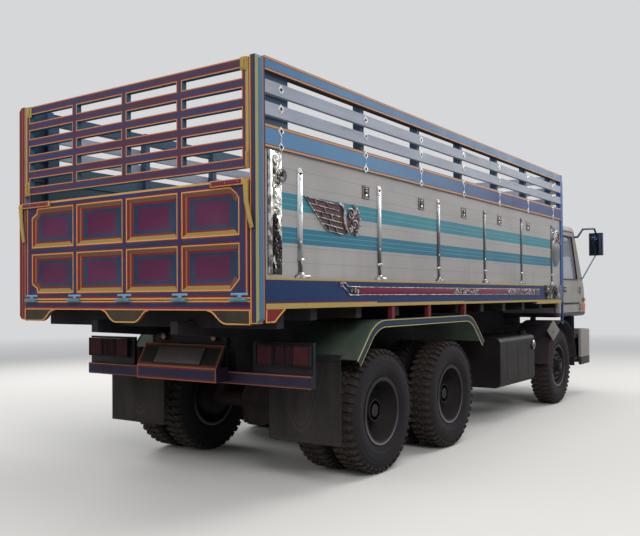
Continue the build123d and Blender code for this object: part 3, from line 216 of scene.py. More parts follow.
class Finish:
    """One node material, fed from the piece's own Object coordinates."""

    def __init__(self, name, rough=0.5, metal=0.0, coat=0.0, gloss=0.1, **constants):
        self.material = bpy.data.materials.new(name)
        self.material.use_nodes = True
        self.tree = self.material.node_tree
        self.tree.nodes.clear()
        self.out = self.tree.nodes.new("ShaderNodeOutputMaterial")
        self.shader = self.tree.nodes.new("ShaderNodeBsdfPrincipled")
        self.tree.links.new(self.shader.outputs["BSDF"], self.out.inputs["Surface"])
        self.place = self.add("ShaderNodeTexCoord", output="Object")
        self.x, self.y, self.z = (
            self.add("ShaderNodeSeparateXYZ", {}, {0: self.place}, axis) for axis in "XYZ"
        )
        self.set("Roughness", rough)
        self.set("Metallic", metal)
        self.set("Coat Weight", coat)
        self.set("Specular IOR Level", gloss)
        for socket, value in constants.items():
            self.set(socket.replace("_", " "), value)

    def add(self, kind, settings=None, inputs=None, output=0):
        node = self.tree.nodes.new(kind)
        for name, value in (settings or {}).items():
            setattr(node, name, value)
        for key, value in (inputs or {}).items():
            self.feed(node.inputs[key], value)
        return Wire(self, node.outputs[output])

    def feed(self, socket, value):
        """Links or sets a socket; a plain tuple on a colour is in steps of 0 to 255."""
        if isinstance(value, Wire):
            self.tree.links.new(value.socket, socket)
        elif socket.type == "RGBA":
            socket.default_value = (*(tint(*value) if isinstance(value, tuple) else value), 1.0)
        else:
            socket.default_value = value

    def set(self, name, value):
        self.feed(self.shader.inputs[name], value)
        return self

    def mix(self, mask, low, high):
        return self.add(
            "ShaderNodeMix", {"data_type": "RGBA"}, {0: mask, 6: low, 7: high}, output=2
        )

    def layers(self, distance, ground, *edges):
        """Bands of paint: each colour begins where the distance passes its edge."""
        colour = ground
        for edge, paint in edges:
            colour = self.mix(distance > edge, colour, paint)
        return colour

    def noise(self, scale, detail=3.0, stretch=(1, 1, 1), rough=0.55):
        spread = self.add("ShaderNodeMapping", {}, {"Vector": self.place, "Scale": stretch})
        return self.add(
            "ShaderNodeTexNoise", {},
            {"Vector": spread, "Scale": scale, "Detail": detail, "Roughness": rough},
        )

    def patches(self, scale, detail, span, first, second):
        """Two tones in soft patches; the second takes over within a span of the noise."""
        return self.mix(self.noise(scale, detail).sharpen(*span), first, second)

    def cells(self, scale, stretch=(1, 1, 1)):
        spread = self.add("ShaderNodeMapping", {}, {"Vector": self.place, "Scale": stretch})
        return self.add("ShaderNodeTexVoronoi", {}, {"Vector": spread, "Scale": scale})

    def from_axle(self, x, z=axle_height):
        """Distance from a line that runs across the truck."""
        dx, dz = self.x - x, self.z - z
        return (dx * dx + dz * dz).math("SQRT")

    def relief(self, height, distance=0.002, strength=0.6):
        bump = self.add(
            "ShaderNodeBump", {}, {"Strength": strength, "Distance": distance, "Height": height}
        )
        return self.set("Normal", bump)

    def dusted(self, colour, amount=0.5, high=1.4):
        """Colour under road dust that thickens towards the ground, in patches."""
        depth = ((high - self.z) / high).held()
        patch = self.noise(2.2, 5.0)
        grain = self.noise(40.0, 3.0)
        mask = ((depth * 1.1 + patch * 1.2 + grain * 0.35 - 1.0) * amount).held()
        return self.mix(mask, colour, bpy.context.scene.truck_colours.dust), mask

    def dress(self, colour, amount=0.5, high=1.4, rough=0.4, grit=0.0012):
        """The usual painted surface: dust, uneven gloss and a fine orange-peel relief."""
        shown, mask = self.dusted(colour, amount, high)
        self.set("Base Color", shown)
        self.set("Roughness", (self.noise(6.0, 4.0) * 0.18 + mask * 0.45 + (rough - 0.09)).held())
        self.relief(self.noise(55.0, 4.0), grit, 0.35)
        return self.material


class Shape:
    """A mesh in the making, built with bmesh operators."""

    def __init__(self):
        self.mesh = bmesh.new()

    def round_off(self, verts, bevel, segments=2):
        if bevel:
            edges = {edge for vert in verts for edge in vert.link_edges}
            bmesh.ops.bevel(
                self.mesh, geom=list(edges), offset=bevel, segments=segments, profile=0.5,
                affect="EDGES", material=-1, clamp_overlap=True,
            )
        return self

    def block(self, low, high, bevel=0.0, turn=None, segments=2):
        """A box between two corners, turned about its own middle, with softened edges."""
        low, high = Vector(low), Vector(high)
        size = Matrix.Diagonal((*[max(abs(v), 1e-5) for v in (high - low)], 1))
        place = Matrix.Translation((low + high) / 2) @ (turn or Matrix()) @ size
        made = bmesh.ops.create_cube(self.mesh, size=1, matrix=place)["verts"]
        return self.round_off(made, bevel, segments)

    def surround(self, low, high, across, wide, tall=None, bevel=0.002):
        """Four bars round an upright rectangle that runs across one axis."""
        low, high = list(map(min, low, high)), list(map(max, low, high))
        for axis, width in ((across, wide), (2, tall or wide)):
            for end, other, step in ((low, high, width), (high, low, -width)):
                edge = list(other)
                edge[axis] = end[axis] + step
                self.block(end, edge, bevel)
        return self

    def rod(self, start, end, radius, sides=16, tip=None):
        """A round bar from one point to another, with an own radius at its tip."""
        start, end = Vector(start), Vector(end)
        run = end - start
        turn = run.to_track_quat("Z", "Y").to_matrix().to_4x4()
        bmesh.ops.create_cone(
            self.mesh, cap_ends=True, cap_tris=False, segments=sides, radius1=radius,
            radius2=radius if tip is None else tip, depth=run.length,
            matrix=Matrix.Translation((start + end) / 2) @ turn,
        )
        return self

    def chain(self, points, radii, sides=8, rows=0, closed=False):
        """A bent bar through points, with balls of some rows at its bends."""
        if isinstance(radii, float):
            radii = [radii] * len(points)
        stops = list(zip(points, radii))
        for (start, thick), (end, tip) in zip(stops, stops[1:] + (stops[:1] if closed else [])):
            self.rod(start, end, thick, sides, tip)
            if rows:
                self.ball(end, tip, rows=rows)
        return self

    def ball(self, centre, radius, squash=(1, 1, 1), turn=None, rows=8):
        size = Matrix.Diagonal((*squash, 1))
        bmesh.ops.create_uvsphere(
            self.mesh, u_segments=rows * 2, v_segments=rows, radius=radius,
            matrix=Matrix.Translation(Vector(centre)) @ (turn or Matrix()) @ size,
        )
        return self

    def lathe(self, profile, centre, axis, steps=64, closed=True):
        """A turned form: pairs of distance along the axis and radius, spun once round."""
        axis, centre = Vector(axis), Vector(centre)
        out = axis.orthogonal().normalized()
        verts = [self.mesh.verts.new(centre + axis * run + out * radius) for run, radius in profile]
        pairs = list(zip(verts, verts[1:] + (verts[:1] if closed else [])))
        edges = [self.mesh.edges.new(pair) for pair in pairs]
        bmesh.ops.spin(
            self.mesh, geom=verts + edges, cent=centre, axis=axis, angle=math.tau, steps=steps,
            use_merge=True,
        )
        return self

    def sheet(self, points, depth, bevel=0.0):
        """A flat outline, in order, given a thickness along a vector, with softened edges."""
        first = [self.mesh.verts.new(p) for p in points]
        face = self.mesh.faces.new(first)
        moved = bmesh.ops.extrude_face_region(self.mesh, geom=[face])["geom"]
        moved = [v for v in moved if isinstance(v, bmesh.types.BMVert)]
        bmesh.ops.translate(self.mesh, vec=Vector(depth), verts=moved)
        return self.round_off(first + moved, bevel)

    def take(self, seed, place):
        """Adds a finished mesh at a place."""
        before = len(self.mesh.verts)
        self.mesh.from_mesh(seed)
        self.mesh.verts.ensure_lookup_table()
        bmesh.ops.transform(self.mesh, matrix=place, verts=self.mesh.verts[before:])
        return self

    def made(self, name):
        """The form so far as a mesh; the shape is done with."""
        mesh = bpy.data.meshes.new(name)
        self.mesh.to_mesh(mesh)
        self.mesh.free()
        return mesh

    def copies(self, places):
        """The form so far, repeated by a list of matrices; the first form stays out."""
        seed = self.made("seed")
        self.mesh = bmesh.new()
        for place in places:
            self.take(seed, place)
        bpy.data.meshes.remove(seed)
        return self

    def both_sides(self):
        """The form so far and its mirror image across the truck."""
        return self.copies((Matrix(), Matrix.Diagonal((1, -1, 1, 1))))

    def piece(self, name, material, body="truck", slot=None, angle=35, stands_for=()):
        bmesh.ops.remove_doubles(self.mesh, verts=self.mesh.verts, dist=1e-5)
        bmesh.ops.recalc_face_normals(self.mesh, faces=self.mesh.faces)
        return place_piece(self.made(name), name, material, body, angle, stands_for)


def ring(count, wide, tall=None, start=0.0, sweep=360.0):
    """Evenly spaced places on a circle or an oval, over a sweep in degrees, as pairs."""
    turns = [math.radians(start + sweep * n / count) for n in range(count)]
    return [(wide * math.cos(t), (wide if tall is None else tall) * math.sin(t)) for t in turns]


def place_piece(mesh, name, material, body="truck", angle=35, stands_for=()):
    """Puts a finished mesh in the scene as a piece that rides on a body."""
    mesh.shade_smooth()
    mesh.set_sharp_from_angle(angle=math.radians(angle))
    mesh.materials.clear()
    mesh.materials.append(material)
    obj = bpy.data.objects.new(name, mesh)
    bpy.context.scene.collection.objects.link(obj)
    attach(obj, body)
    if stands_for:
        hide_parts(*stands_for)
    return obj


def node_body(name):
    """The body that a node of the frame rides on."""
    return nodes[name]["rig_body"]


def soften(node, material, width, angle=35):
    """A merged copy of a frame node with softened edges, which stands for it."""
    copy = Shape()
    copy.mesh.from_mesh(nodes[node].data)
    bmesh.ops.remove_doubles(copy.mesh, verts=copy.mesh.verts, dist=1e-5)
    bmesh.ops.dissolve_limit(
        copy.mesh, angle_limit=math.radians(0.4), verts=copy.mesh.verts, edges=copy.mesh.edges,
        delimit={"NORMAL"},
    )
    obj = place_piece(
        copy.made(node), node + "_skin", material, node_body(node), angle, (node,)
    )
    edge = obj.modifiers.new("softened edges", "BEVEL")
    edge.width = width
    edge.segments = 2
    edge.limit_method = "ANGLE"
    edge.angle_limit = math.radians(40)
    edge.harden_normals = True


def repaint(node, material):
    """A better finish on a frame node whose shape stays."""
    for slot in nodes[node].material_slots:
        slot.material = material


def bead(name, points, radius, material):
    """A thin line of trim along a route, as a curve with a round section."""
    curve = bpy.data.curves.new(name, "CURVE")
    curve.dimensions = "3D"
    curve.bevel_depth = radius
    curve.bevel_resolution = 2
    curve.use_fill_caps = True
    spline = curve.splines.new("POLY")
    spline.points.add(len(points) - 1)
    for point, place in zip(spline.points, points):
        point.co = (*place, 1)
    obj = bpy.data.objects.new(name, curve)
    bpy.context.scene.collection.objects.link(obj)
    depsgraph = bpy.context.evaluated_depsgraph_get()
    mesh = bpy.data.meshes.new_from_object(obj.evaluated_get(depsgraph))
    bpy.data.objects.remove(obj)
    return place_piece(mesh, name, material)


def grooved(name, axis, pitch, groove, clear, deep, **constants):
    """A lens whose grooves repeat along one axis, given by its number."""
    lens = Finish(name, **constants)
    mask = (lens.x, lens.y, lens.z)[axis].nearest(0.0, pitch) < groove
    return lens.set("Base Color", lens.mix(mask, clear, deep)).material


# Finishes that several pieces share
palette = {}


def finishes():
    """The common finishes, made once from the chosen colours."""
    if palette:
        return palette
    c = bpy.context.scene.truck_colours

    # Bare metals: shine, gloss, scale, detail and span of the dark patches, two tones, roughness
    for key, name, metal, gloss, scale, detail, span, clean, stain_and_reflection_tone, rough in (
        ("chrome", "bright trim", 1.0, 0.1,
         16.0, 4.0, (0.42, 0.6), (206, 208, 208), (96, 92, 90), 0.1),
        ("dull", "dull bright trim", 0.6, 0.3,
         22.0, 4.0, (0.4, 0.62), (158, 154, 150), (70, 58, 58), 0.28),
        ("pale", "pale cast trim", 0.35, 0.3,
         40.0, 3.0, (0.5, 0.6), (190, 192, 190), (84, 78, 78), 0.3),
    ):
        # The dark patches are partly stains and partly painted dark reflection, which gives the bright
        # metals their contrast
        bare = Finish(name, metal=metal, gloss=gloss)
        metal_noise = bare.noise(scale, detail)
        stain_and_dark_reflection = metal_noise.sharpen(*span) * (0.7 if key == "pale" else 1.0)
        bare.set("Base Color", bare.mix(stain_and_dark_reflection, clean, stain_and_reflection_tone)).set("Roughness", metal_noise * 0.2 + rough)
        if key == "chrome":
            bare.relief(bare.noise(18.0, 3.0), 0.002, 0.3)
        palette[key] = bare.material

    stamped = Finish("stamped bright sheet", metal=0.9)
    waves = stamped.noise(11.0, 2.0, (1, 1, 0.6))
    folds = stamped.cells(17.0, (1, 1, 0.7))
    # Painted reflection: the bright sheet turns dark in broad patches, and more so low down, where it
    # would mirror the ground; the folds get painted shade
    low_down = ((1.98 - stamped.z) * 4.0).held()
    dark = (waves + low_down * 0.18).sharpen(0.5, 0.56)
    sheet = stamped.mix(dark, (216, 215, 206), (44, 40, 42))
    stamped.set("Base Color", stamped.mix(folds.sharpen(0.5, 0.62) * 0.6, sheet, (58, 52, 50)))
    stamped.set("Roughness", waves * 0.2 + 0.16).relief(waves + folds, 0.010, 0.8)
    palette["stamped"] = stamped.material

    # Plain paints: colour, amount of dust, roughness
    for key, colour, amount, rough in (
        ("ochre", c.ochre, 0.4, 0.5), ("crimson", c.crimson, 0.3, 0.5),
        ("orange", c.orange, 0.25, 0.5), ("cab", c.cab, 0.3, 0.42),
    ):
        paint = Finish(key + " paint")
        wear = paint.noise(14.0, 6.0)
        wear_and_highlight = paint.mix(wear.sharpen(0.62, 0.7) * 0.5, colour, (72, 62, 54))
        palette[key] = paint.dress(wear_and_highlight, amount, rough=rough)

    # Dark finishes: scale, detail and span of the patches, two tones, then how they are dressed
    for key, name, scale, detail, span, first, second, dressing in (
        ("chassis", "chassis paint", 4.0, 6.0, (0.45, 0.75), c.chassis, (42, 37, 35),
         (0.25, 1.3, 0.62, 0.003)),
        ("iron", "oily iron", 7.0, 6.0, (0.4, 0.7), (30, 29, 31), (46, 40, 37),
         (0.3, 1.1, 0.7, 0.004)),
        ("black", "black moulding", 12.0, 3.0, (0.0, 1.0), (20, 20, 23), (30, 29, 31),
         (0.15, 1.4, 0.5)),
    ):
        dark = Finish(name)
        palette[key] = dark.dress(dark.patches(scale, detail, span, first, second), *dressing)
    return palette


class PaintLoadBody(bpy.types.Operator):
    """Paint the side walls, racks, posts, headboard and floor of the load body"""

    bl_idname = "truck.paint_load_body"
    bl_label = "Load body"

    def execute(self, context):
        c, line = context.scene.truck_colours, context.scene.truck_sizes.line
        finishes()
        tan = (166, 124, 84)

        # Side walls: sill, planks with two stripes, middle band
        wall = Finish("side wall paint")
        x, z, out = wall.x, wall.z, abs(wall.y)
        front_share = ((x - along(1.6)) / 2.4).held()
        shade = wall.noise(3.0, 4.0, (0.4, 1, 1))
        joint = z.nearest(sill_top, 0.104) < 0.0022
        seam = x.nearest(along(0.867), 1.075) < 0.0016
        plank = wall.mix(shade.sharpen(0.3, 0.7), c.panel, (136, 134, 132))
        plank = wall.mix(joint.most(seam * 0.6) * 0.5, plank, (104, 101, 100))
        low_down = 0.35 * ((2.05 - z) * 2.0).held()
        run = wall.noise(5.0, 5.0, (1, 1, 0.06)).sharpen(0.5, 0.72) * low_down
        plank = wall.mix(run, plank, (122, 112, 104))
        stripe = z.within(2.007, 2.119).most(z.within(1.786, 1.893))
        stripe = stripe * x.within(along(0.25), along(5.95))
        fine = (z.nearest(1.8216, 0.0357) < 0.0035) * z.within(1.79, 1.889)
        fine = fine.most((z.nearest(2.0443, 0.0373) < 0.0035) * z.within(2.012, 2.115))
        teal = wall.mix(shade.sharpen(0.35, 0.65), c.teal, (44, 108, 124))
        low_teal = wall.mix(shade.sharpen(0.35, 0.65), (42, 104, 122), (36, 94, 118))
        teal = wall.mix(z < 1.9, teal, low_teal)
        plank = wall.mix(stripe, plank, wall.mix(fine * 0.5, teal, (96, 140, 144)))
        blue = wall.mix(front_share, c.steel_blue, (30, 54, 102))
        # The dark brown line at the band's foot is a painted shadow line
        band = wall.layers(
            z, (52, 46, 42), (band_low + line * 0.8, tan), (band_low + line * 2.4, c.crimson),
            (band_low + line * 3.1, blue), (band_high - line * 3.1, c.crimson),
            (band_high - line * 2.5, tan), (band_high - line * 0.7, (62, 52, 44)),
        )
        sill_blue = wall.mix(shade.sharpen(0.35, 0.7), (22, 44, 82), (20, 37, 74))
        # The yellow lower edge steps down twice and follows the deeper front end
        drop = (x > along(1.462)) * 0.008 + (x > along(3.127)) * 0.006
        yellow_top = 1.386 - drop
        sill = wall.mix(z < yellow_top, sill_blue, c.ochre)
        sill = wall.mix(z.within(1.386, 1.392) * (x < along(1.462)), sill, c.crimson)
        sill = wall.mix(z > 1.540, sill, (150, 128, 74))
        bracket = wall.mix(shade, (116, 32, 36), (98, 28, 34))
        rear_bracket = (z < 1.3495) * (x < along(0.4))
        sill = wall.mix(rear_bracket, sill, bracket)
        colour = wall.mix(z > sill_top, sill, plank)
        colour = wall.mix(z > band_low, colour, band)
        inner = wall.mix(shade.sharpen(0.35, 0.65), (48, 76, 92), (60, 78, 88))
        colour = wall.mix((out < half_width - 0.022) * (1 - rear_bracket), colour, inner)
        material = wall.dress(colour, 0.2, 1.9, rough=0.5)
        for name, _ in sides:
            soften("side_wall_" + name, material, 0.003)

        # Side racks: rail with tan lines, grey slats, dark inner stanchions
        rack = Finish("side rack paint")
        x, z, out = rack.x, rack.z, abs(rack.y)
        shade = rack.noise(3.0, 4.0, (0.4, 1, 1))
        rail = rack.mix(shade.sharpen(0.35, 0.7), c.steel_blue, (64, 102, 136))
        low = top_edge - 0.095
        rail = rack.layers(
            z, (62, 50, 44), (low + line * 0.7, tan), (low + line * 2.0, c.crimson),
            (low + line * 2.6, rail), (top_edge - line * 2.6, c.crimson),
            (top_edge - line * 2.0, tan), (top_edge - line * 0.5, (96, 76, 56)),
        )
        weathered = rack.noise(8.0, 6.0, (0.15, 1, 1))
        slat = rack.mix(weathered.sharpen(0.35, 0.7), c.slat, (126, 131, 142))
        slat = rack.mix(weathered.sharpen(0.66, 0.7) * 0.5, slat, (100, 98, 98))
        post = rack.mix(shade.sharpen(0.35, 0.65), (42, 60, 84), (58, 80, 100))
        on_slat = (z.within(2.597, 2.685).most(z.within(2.738, 2.826))) * (out > half_width - 0.0325)
        colour = rack.mix(on_slat, post, slat)
        colour = rack.mix(z > low - 0.0005, colour, rail)
        colour = rack.mix(out < half_width - 0.055, colour, post)
        material = rack.dress(colour, 0.15, 3.4, rough=0.5)
        for name, _ in sides:
            soften("side_rack_" + name, material, 0.003)

        # Corner posts: striped rear faces, each side its own
        posts = Finish("corner post paint")
        x, y, z, out = posts.x, posts.y, posts.z, abs(posts.y)
        shade = posts.noise(4.0, 4.0, (1, 1, 0.2))
        right = posts.layers(
            out, c.orange, (1.183, (92, 32, 44)), (1.196, c.navy), (1.221, (140, 134, 84)),
            (1.2475, (60, 52, 52)),
        )
        red = posts.mix(shade, (106, 34, 42), (84, 30, 42))
        left = posts.layers(
            out, (148, 96, 64), (1.181, red), (1.2065, (144, 84, 64)), (1.2125, red),
            (1.242, (136, 122, 76)),
        )
        rear = posts.mix(y > 0, right, left)
        side = posts.layers(
            x, posts.mix(shade, (68, 110, 138), (56, 94, 124)), (along(0.042), (150, 92, 84)),
            (along(0.051), (66, 38, 38)),
        )
        colour = posts.mix(x > along(0.001), rear, side)
        colour = posts.mix(z < 1.2655, colour, c.orange)
        colour = posts.mix(x > along(1.0), colour, posts.mix(shade, (52, 88, 146), (44, 70, 118)))
        soften("corner_posts", posts.dress(colour, 0.2, 2.0, rough=0.5), 0.004)

        board = Finish("headboard paint")
        z = board.z
        shade = board.noise(4.0, 5.0, (1, 0.4, 1))
        plank = board.mix(shade, (72, 100, 128), (54, 82, 108))
        plank = board.mix(z.nearest(1.42, 0.16) < 0.003, plank, (30, 40, 52))
        plank = board.mix(z > 2.53, plank, tan)
        plank = board.mix(z > 2.545, plank, c.slat)
        soften("headboard", board.dress(plank, 0.3, 2.4), 0.003)

        wood = Finish("floor planks")
        grain = wood.noise(6.0, 8.0, (0.25, 3.5, 3.5))
        plank = wood.mix(grain.sharpen(0.3, 0.75), (104, 84, 64), (70, 55, 42))
        plank = wood.mix(wood.y.nearest(0.085, 0.17) < 0.004, plank, (28, 22, 18))
        wood.set("Base Color", wood.dusted(plank, 0.7, 3.0)[0])
        wood.set("Roughness", grain * 0.3 + 0.55)
        wood.relief(grain, 0.004, 0.6)
        soften("body_floor", wood.material, 0.003)

        # Orange outline of the stepped bracket behind each rear post
        places = ((0.066, 1.345), (0.066, 1.267), (0.150, 1.267), (0.2015, 1.307), (0.260, 1.347))
        route = [(along(x), sill_face - 0.001, z) for x, z in places]
        outline = Shape().chain(route, 0.0055, rows=4)
        outline.both_sides().piece("side_bracket_outlines", palette["orange"], slot="navy_paint")
        return {"FINISHED"}


class PaintRearGates(bpy.types.Operator):
    """Paint the rear gates and sill, and add hinge leaves and the bracket outlines"""

    bl_idname = "truck.paint_rear_gates"
    bl_label = "Rear gates"

    def execute(self, context):
        c, line = context.scene.truck_colours, context.scene.truck_sizes.line
        tools = finishes()
        low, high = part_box("upper_gate")
        pitch = (high.z - low.z - 0.064) / 5
        red = (104, 34, 42)

        # Upper gate: outlines round every opening
        slats = Finish("slatted gate paint")
        x, z, out = slats.x, slats.z, abs(slats.y)
        shade = slats.noise(5.0, 4.0, (1, 0.35, 1))
        ground = slats.mix(shade.sharpen(0.38, 0.6), (46, 50, 84), c.purple)
        inward = 0.032 - z.nearest(low.z + 0.032, pitch)
        bar = (0.027 - out).most(0.027 - abs(out - 0.554), out - 1.111)
        depth = inward.most(bar).least(high.z - z, z - low.z)
        colour = slats.layers(depth, (168, 120, 74), (line * 0.9, red), (line * 1.75, ground))
        colour = slats.mix(out > 1.136, colour, red)
        colour = slats.mix(out > 1.142, colour, c.ochre)
        inside = slats.mix(shade, (48, 96, 112), (38, 66, 92))
        colour = slats.mix(x > along(0.0012), colour, inside)
        soften("upper_gate", slats.dress(colour, 0.15, 3.2, rough=0.5), 0.0025)

        # Lower gate: framed panels with bevels of two tones and a maroon centre
        door = Finish("panelled gate paint")
        x, y, z, out = door.x, door.y, door.z, abs(door.y)
        shade = door.noise(5.0, 4.0)
        half_panel = 0.276
        across = abs(abs(out - 2 * half_panel) - half_panel) - 0.25
        steps = (y - half_panel) / (2 * half_panel)
        left_half = (steps - steps.math("ROUND")) > 0.0
        up = (abs(z - 1.62464) - 0.14841).least(abs(z - 1.98579) - 0.15074)
        upper_half = (z > 1.98579).most(z.within(1.62464, 1.80))
        clip = ((z - 2.1365).most(1.4762 - z) + out - 1.078 + 0.07) * 0.7071
        depth = across.most(up, clip)
        ground = door.mix(shade.sharpen(0.35, 0.65), c.navy, (54, 40, 68))
        speck = door.noise(90.0, 2.0)
        centre = door.mix(speck.sharpen(0.35, 0.65), c.maroon, (72, 30, 60))
        border = door.mix(shade.sharpen(0.4, 0.6), (32, 50, 72), (36, 54, 78))
        floor = door.mix(((across.most(up - 0.022) + 0.084) * -60.0).held(), border, centre)
        flank = door.layers(across, (124, 86, 50), (-0.020, (104, 34, 38)))
        flank = door.mix(left_half, border, flank)
        # Painted shade: the upper bevels are a shaded brown-ochre, the lower ones ochre in light
        shelf = door.mix(upper_half, (142, 114, 58), (98, 68, 50))
        bevel = door.mix(across > up, shelf, flank)
        bevel = door.mix(clip > across.most(up), bevel, (96, 68, 48))
        rim = door.mix(left_half.most(up > across), border, (100, 32, 46))
        panel = door.mix(depth > -0.046, floor, rim)
        shelf_edge = (across > up) * (1 - left_half) * (depth > -0.043)
        panel = door.mix((depth > -0.030).most(shelf_edge), panel, bevel)
        frame_paint = door.layers(
            depth, panel, (-0.002, c.orange), (0.007, (100, 32, 42)), (0.014, ground)
        )
        frame_paint = door.layers(
            out, frame_paint, (1.128, (96, 32, 42)), (1.138, (164, 110, 76)), (1.150, (62, 32, 44))
        )
        frame_paint = door.layers(-z, frame_paint, (-1.442, (96, 32, 42)), (-1.428, c.orange))
        frame_paint = door.mix(z > 2.176, frame_paint, c.orange)
        back = door.mix(shade, (70, 104, 134), (50, 80, 108))
        colour = door.mix(x > along(0.0255), frame_paint, back)
        colour = door.mix(x < along(-0.001), colour, (70, 112, 128))
        soften("lower_gate", door.dress(colour, 0.15, 2.4, rough=0.5), 0.0025)

        # Sill below the gates, with its hinge barrels
        sill = Finish("rear sill paint")
        x, z = sill.x, sill.z
        shade = sill.noise(6.0, 4.0)
        ground = sill.mix(shade.sharpen(0.4, 0.6), c.navy, (50, 36, 60))
        under = sill.mix(shade.sharpen(0.3, 0.7), (62, 54, 40), (40, 38, 34))
        colour = sill.layers(
            z, under, (bracket_high, c.orange), (1.349, (122, 34, 44)), (1.362, ground),
            (1.392, (122, 34, 44)), (1.398, c.orange),
        )
        colour = sill.mix(x < along(-0.001), colour, (70, 122, 134))
        colour = sill.mix(x > along(0.034), colour, (44, 42, 44))
        soften("rear_sill", sill.dress(colour, 0.25, 1.7), 0.002)

        # Hinge leaves on the gate's face, above each barrel
        leaf = Shape()
        for y in hinge_places:
            inner = max(-1.155, y - 0.072)
            leaf.block((along(-0.005), inner, 1.4405), (along(0), min(1.155, y + 0.072), 1.4565), 0.0015)
            leaf.block((along(-0.004), y - 0.016, 1.425), (along(0), y + 0.016, 1.442), 0.001)
            for side in (-1, 1):
                leaf.ball((along(-0.006), y + side * 0.045, 1.4485), 0.006, rows=5)
        pale = Finish("hinge paint")
        hinge = pale.dress(pale.mix(pale.noise(30.0), (120, 160, 190), (84, 128, 160)), 0.2)
        leaf.piece("gate_hinge_leaves", hinge, "lower_gate", "gate_paint")

        # Ochre straps at the upper gate's corners, as the four outer corners of a plate
        strap = Shape()
        for y0, y1, z0, z1 in (
            (-1.156, -1.102, 2.881, 2.969), (-1.167, -1.147, 2.247, 2.368),
            (1.083, 1.136, 2.880, 2.966), (1.110, 1.160, 2.251, 2.361),
        ):
            middle, half = (y0 + y1) / 2, (y1 - y0) / 2
            strap.block((along(-0.008), y0, z0), (along(0.002), y1, z1), 0.004, segments=3)
            edge, thick = along(-0.014), min(half * 0.6, 0.009)
            strap.rod((edge, middle, z0 + 0.012), (edge, middle, z1 - 0.012), thick, 12)
            for z in (z0 + 0.018, z1 - 0.018):
                strap.ball((along(-0.010), middle, z), min(half * 0.8, 0.012), (0.6, 1, 1), rows=6)
        strap.piece("upper_gate_straps", tools["ochre"], "upper_gate", "latch_yellow")

        # Outlines of the brackets under the sill: a flat foot and an S that climbs to the rail
        face = along(-0.002)
        end = 1.173

        def climb(foot, top):
            """The S from a foot to the rail, by places across the truck."""
            turn, shares = (foot + top) / 2, (0.25, 0.5, 0.75, 1.0)
            rise, rest = bracket_turn - bracket_low, bracket_high - bracket_turn
            return [
                (face, foot + (turn - foot) * share, bracket_low + rise * share ** 1.9)
                for share in shares
            ] + [
                (face, turn + (top - turn) * share, bracket_turn + rest * (1 - (1 - share) ** 1.9))
                for share in shares
            ]

        halves = {}
        for name, side in sides:
            outer, foot = side * (end - 0.003), side * (end - 0.2)
            corner = [(face, outer, bracket_high), (face, outer, bracket_low), (face, foot, bracket_low)]
            route = corner + climb(foot, side * (end - 0.365))
            bead(f"bracket_outline_{name}", route, 0.0055, tools["orange"])
            halves[name] = [(face, side * 0.095, bracket_low)] + climb(side * 0.095, side * 0.245)
        route = halves["left"][::-1] + halves["right"]
        bead("bracket_outline_middle", route, 0.0055, tools["orange"])
        return {"FINISHED"}


class AddGateLatches(bpy.types.Operator):
    """Build the bent yellow levers and the toggle bars of the lower gate"""

    bl_idname = "truck.add_gate_latches"
    bl_label = "Gate latches"

    def execute(self, context):
        tools = finishes()
        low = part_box("gate_latches")[0]
        face = along(0)
        near, far = face - 0.022, face - 0.006
        levers, bars, plates = Shape(), Shape(), Shape()
        # Each lever's route, as place across, height and half width
        routes = (
            (-1, ((-1.149, 2.182, 0.021), (-1.153, 2.110, 0.018), (-1.155, 2.040, 0.016),
                  (-1.178, 1.948, 0.0145), (-1.199, 1.868, 0.013))),
            (1, ((1.213, 2.182, 0.020), (1.208, 2.110, 0.018), (1.203, 2.040, 0.016),
                 (1.187, 1.955, 0.0145), (1.171, 1.878, 0.013))),
        )
        pivot, bar_low, bar_high = 2.162, 2.1500, 2.1910
        bar_middle = (bar_low + bar_high) / 2
        for side, steps in routes:
            rims = []
            for n, (y, z, half) in enumerate(steps):
                before, after = steps[max(n - 1, 0)], steps[min(n + 1, len(steps) - 1)]
                run = Vector((after[0] - before[0], after[1] - before[1])).normalized()
                rims.append(((y - run.y * half, z + run.x * half), (y + run.y * half, z - run.x * half)))
            outline = [a for a, _ in rims] + [b for _, b in reversed(rims)]
            levers.sheet([(near, y, z) for y, z in outline], (far - near, 0, 0), 0.004)
            head = steps[0][0]
            levers.rod((low.x + 0.001, head, pivot), (face, head, pivot), 0.019, 24)
            levers.rod((low.x + 0.0002, head, pivot), (low.x + 0.004, head, pivot), 0.009, 12)
            inner, outer = side * 0.847, head - side * 0.012
            bars.block((low.x + 0.004, inner, bar_low), (face, outer, bar_high), 0.003)
            plates.block(
                (low.x + 0.002, inner + side * 0.008, bar_low + 0.0065),
                (low.x + 0.006, outer - side * 0.02, bar_high - 0.0065), 0.001,
            )
            for y in (side * 0.866, side * 0.98, side * 1.09):
                levers.rod((low.x + 0.001, y, bar_middle), (low.x + 0.006, y, bar_middle), 0.004, 10)
        levers.piece(
            "latch_levers", tools["ochre"], "lower_gate", "latch_yellow", stands_for=("gate_latches",)
        )
        bars.piece("latch_bars", tools["orange"], "lower_gate", "latch_yellow")
        plates.piece("latch_bar_faces", tools["crimson"], "lower_gate", "gate_paint")
        return {"FINISHED"}


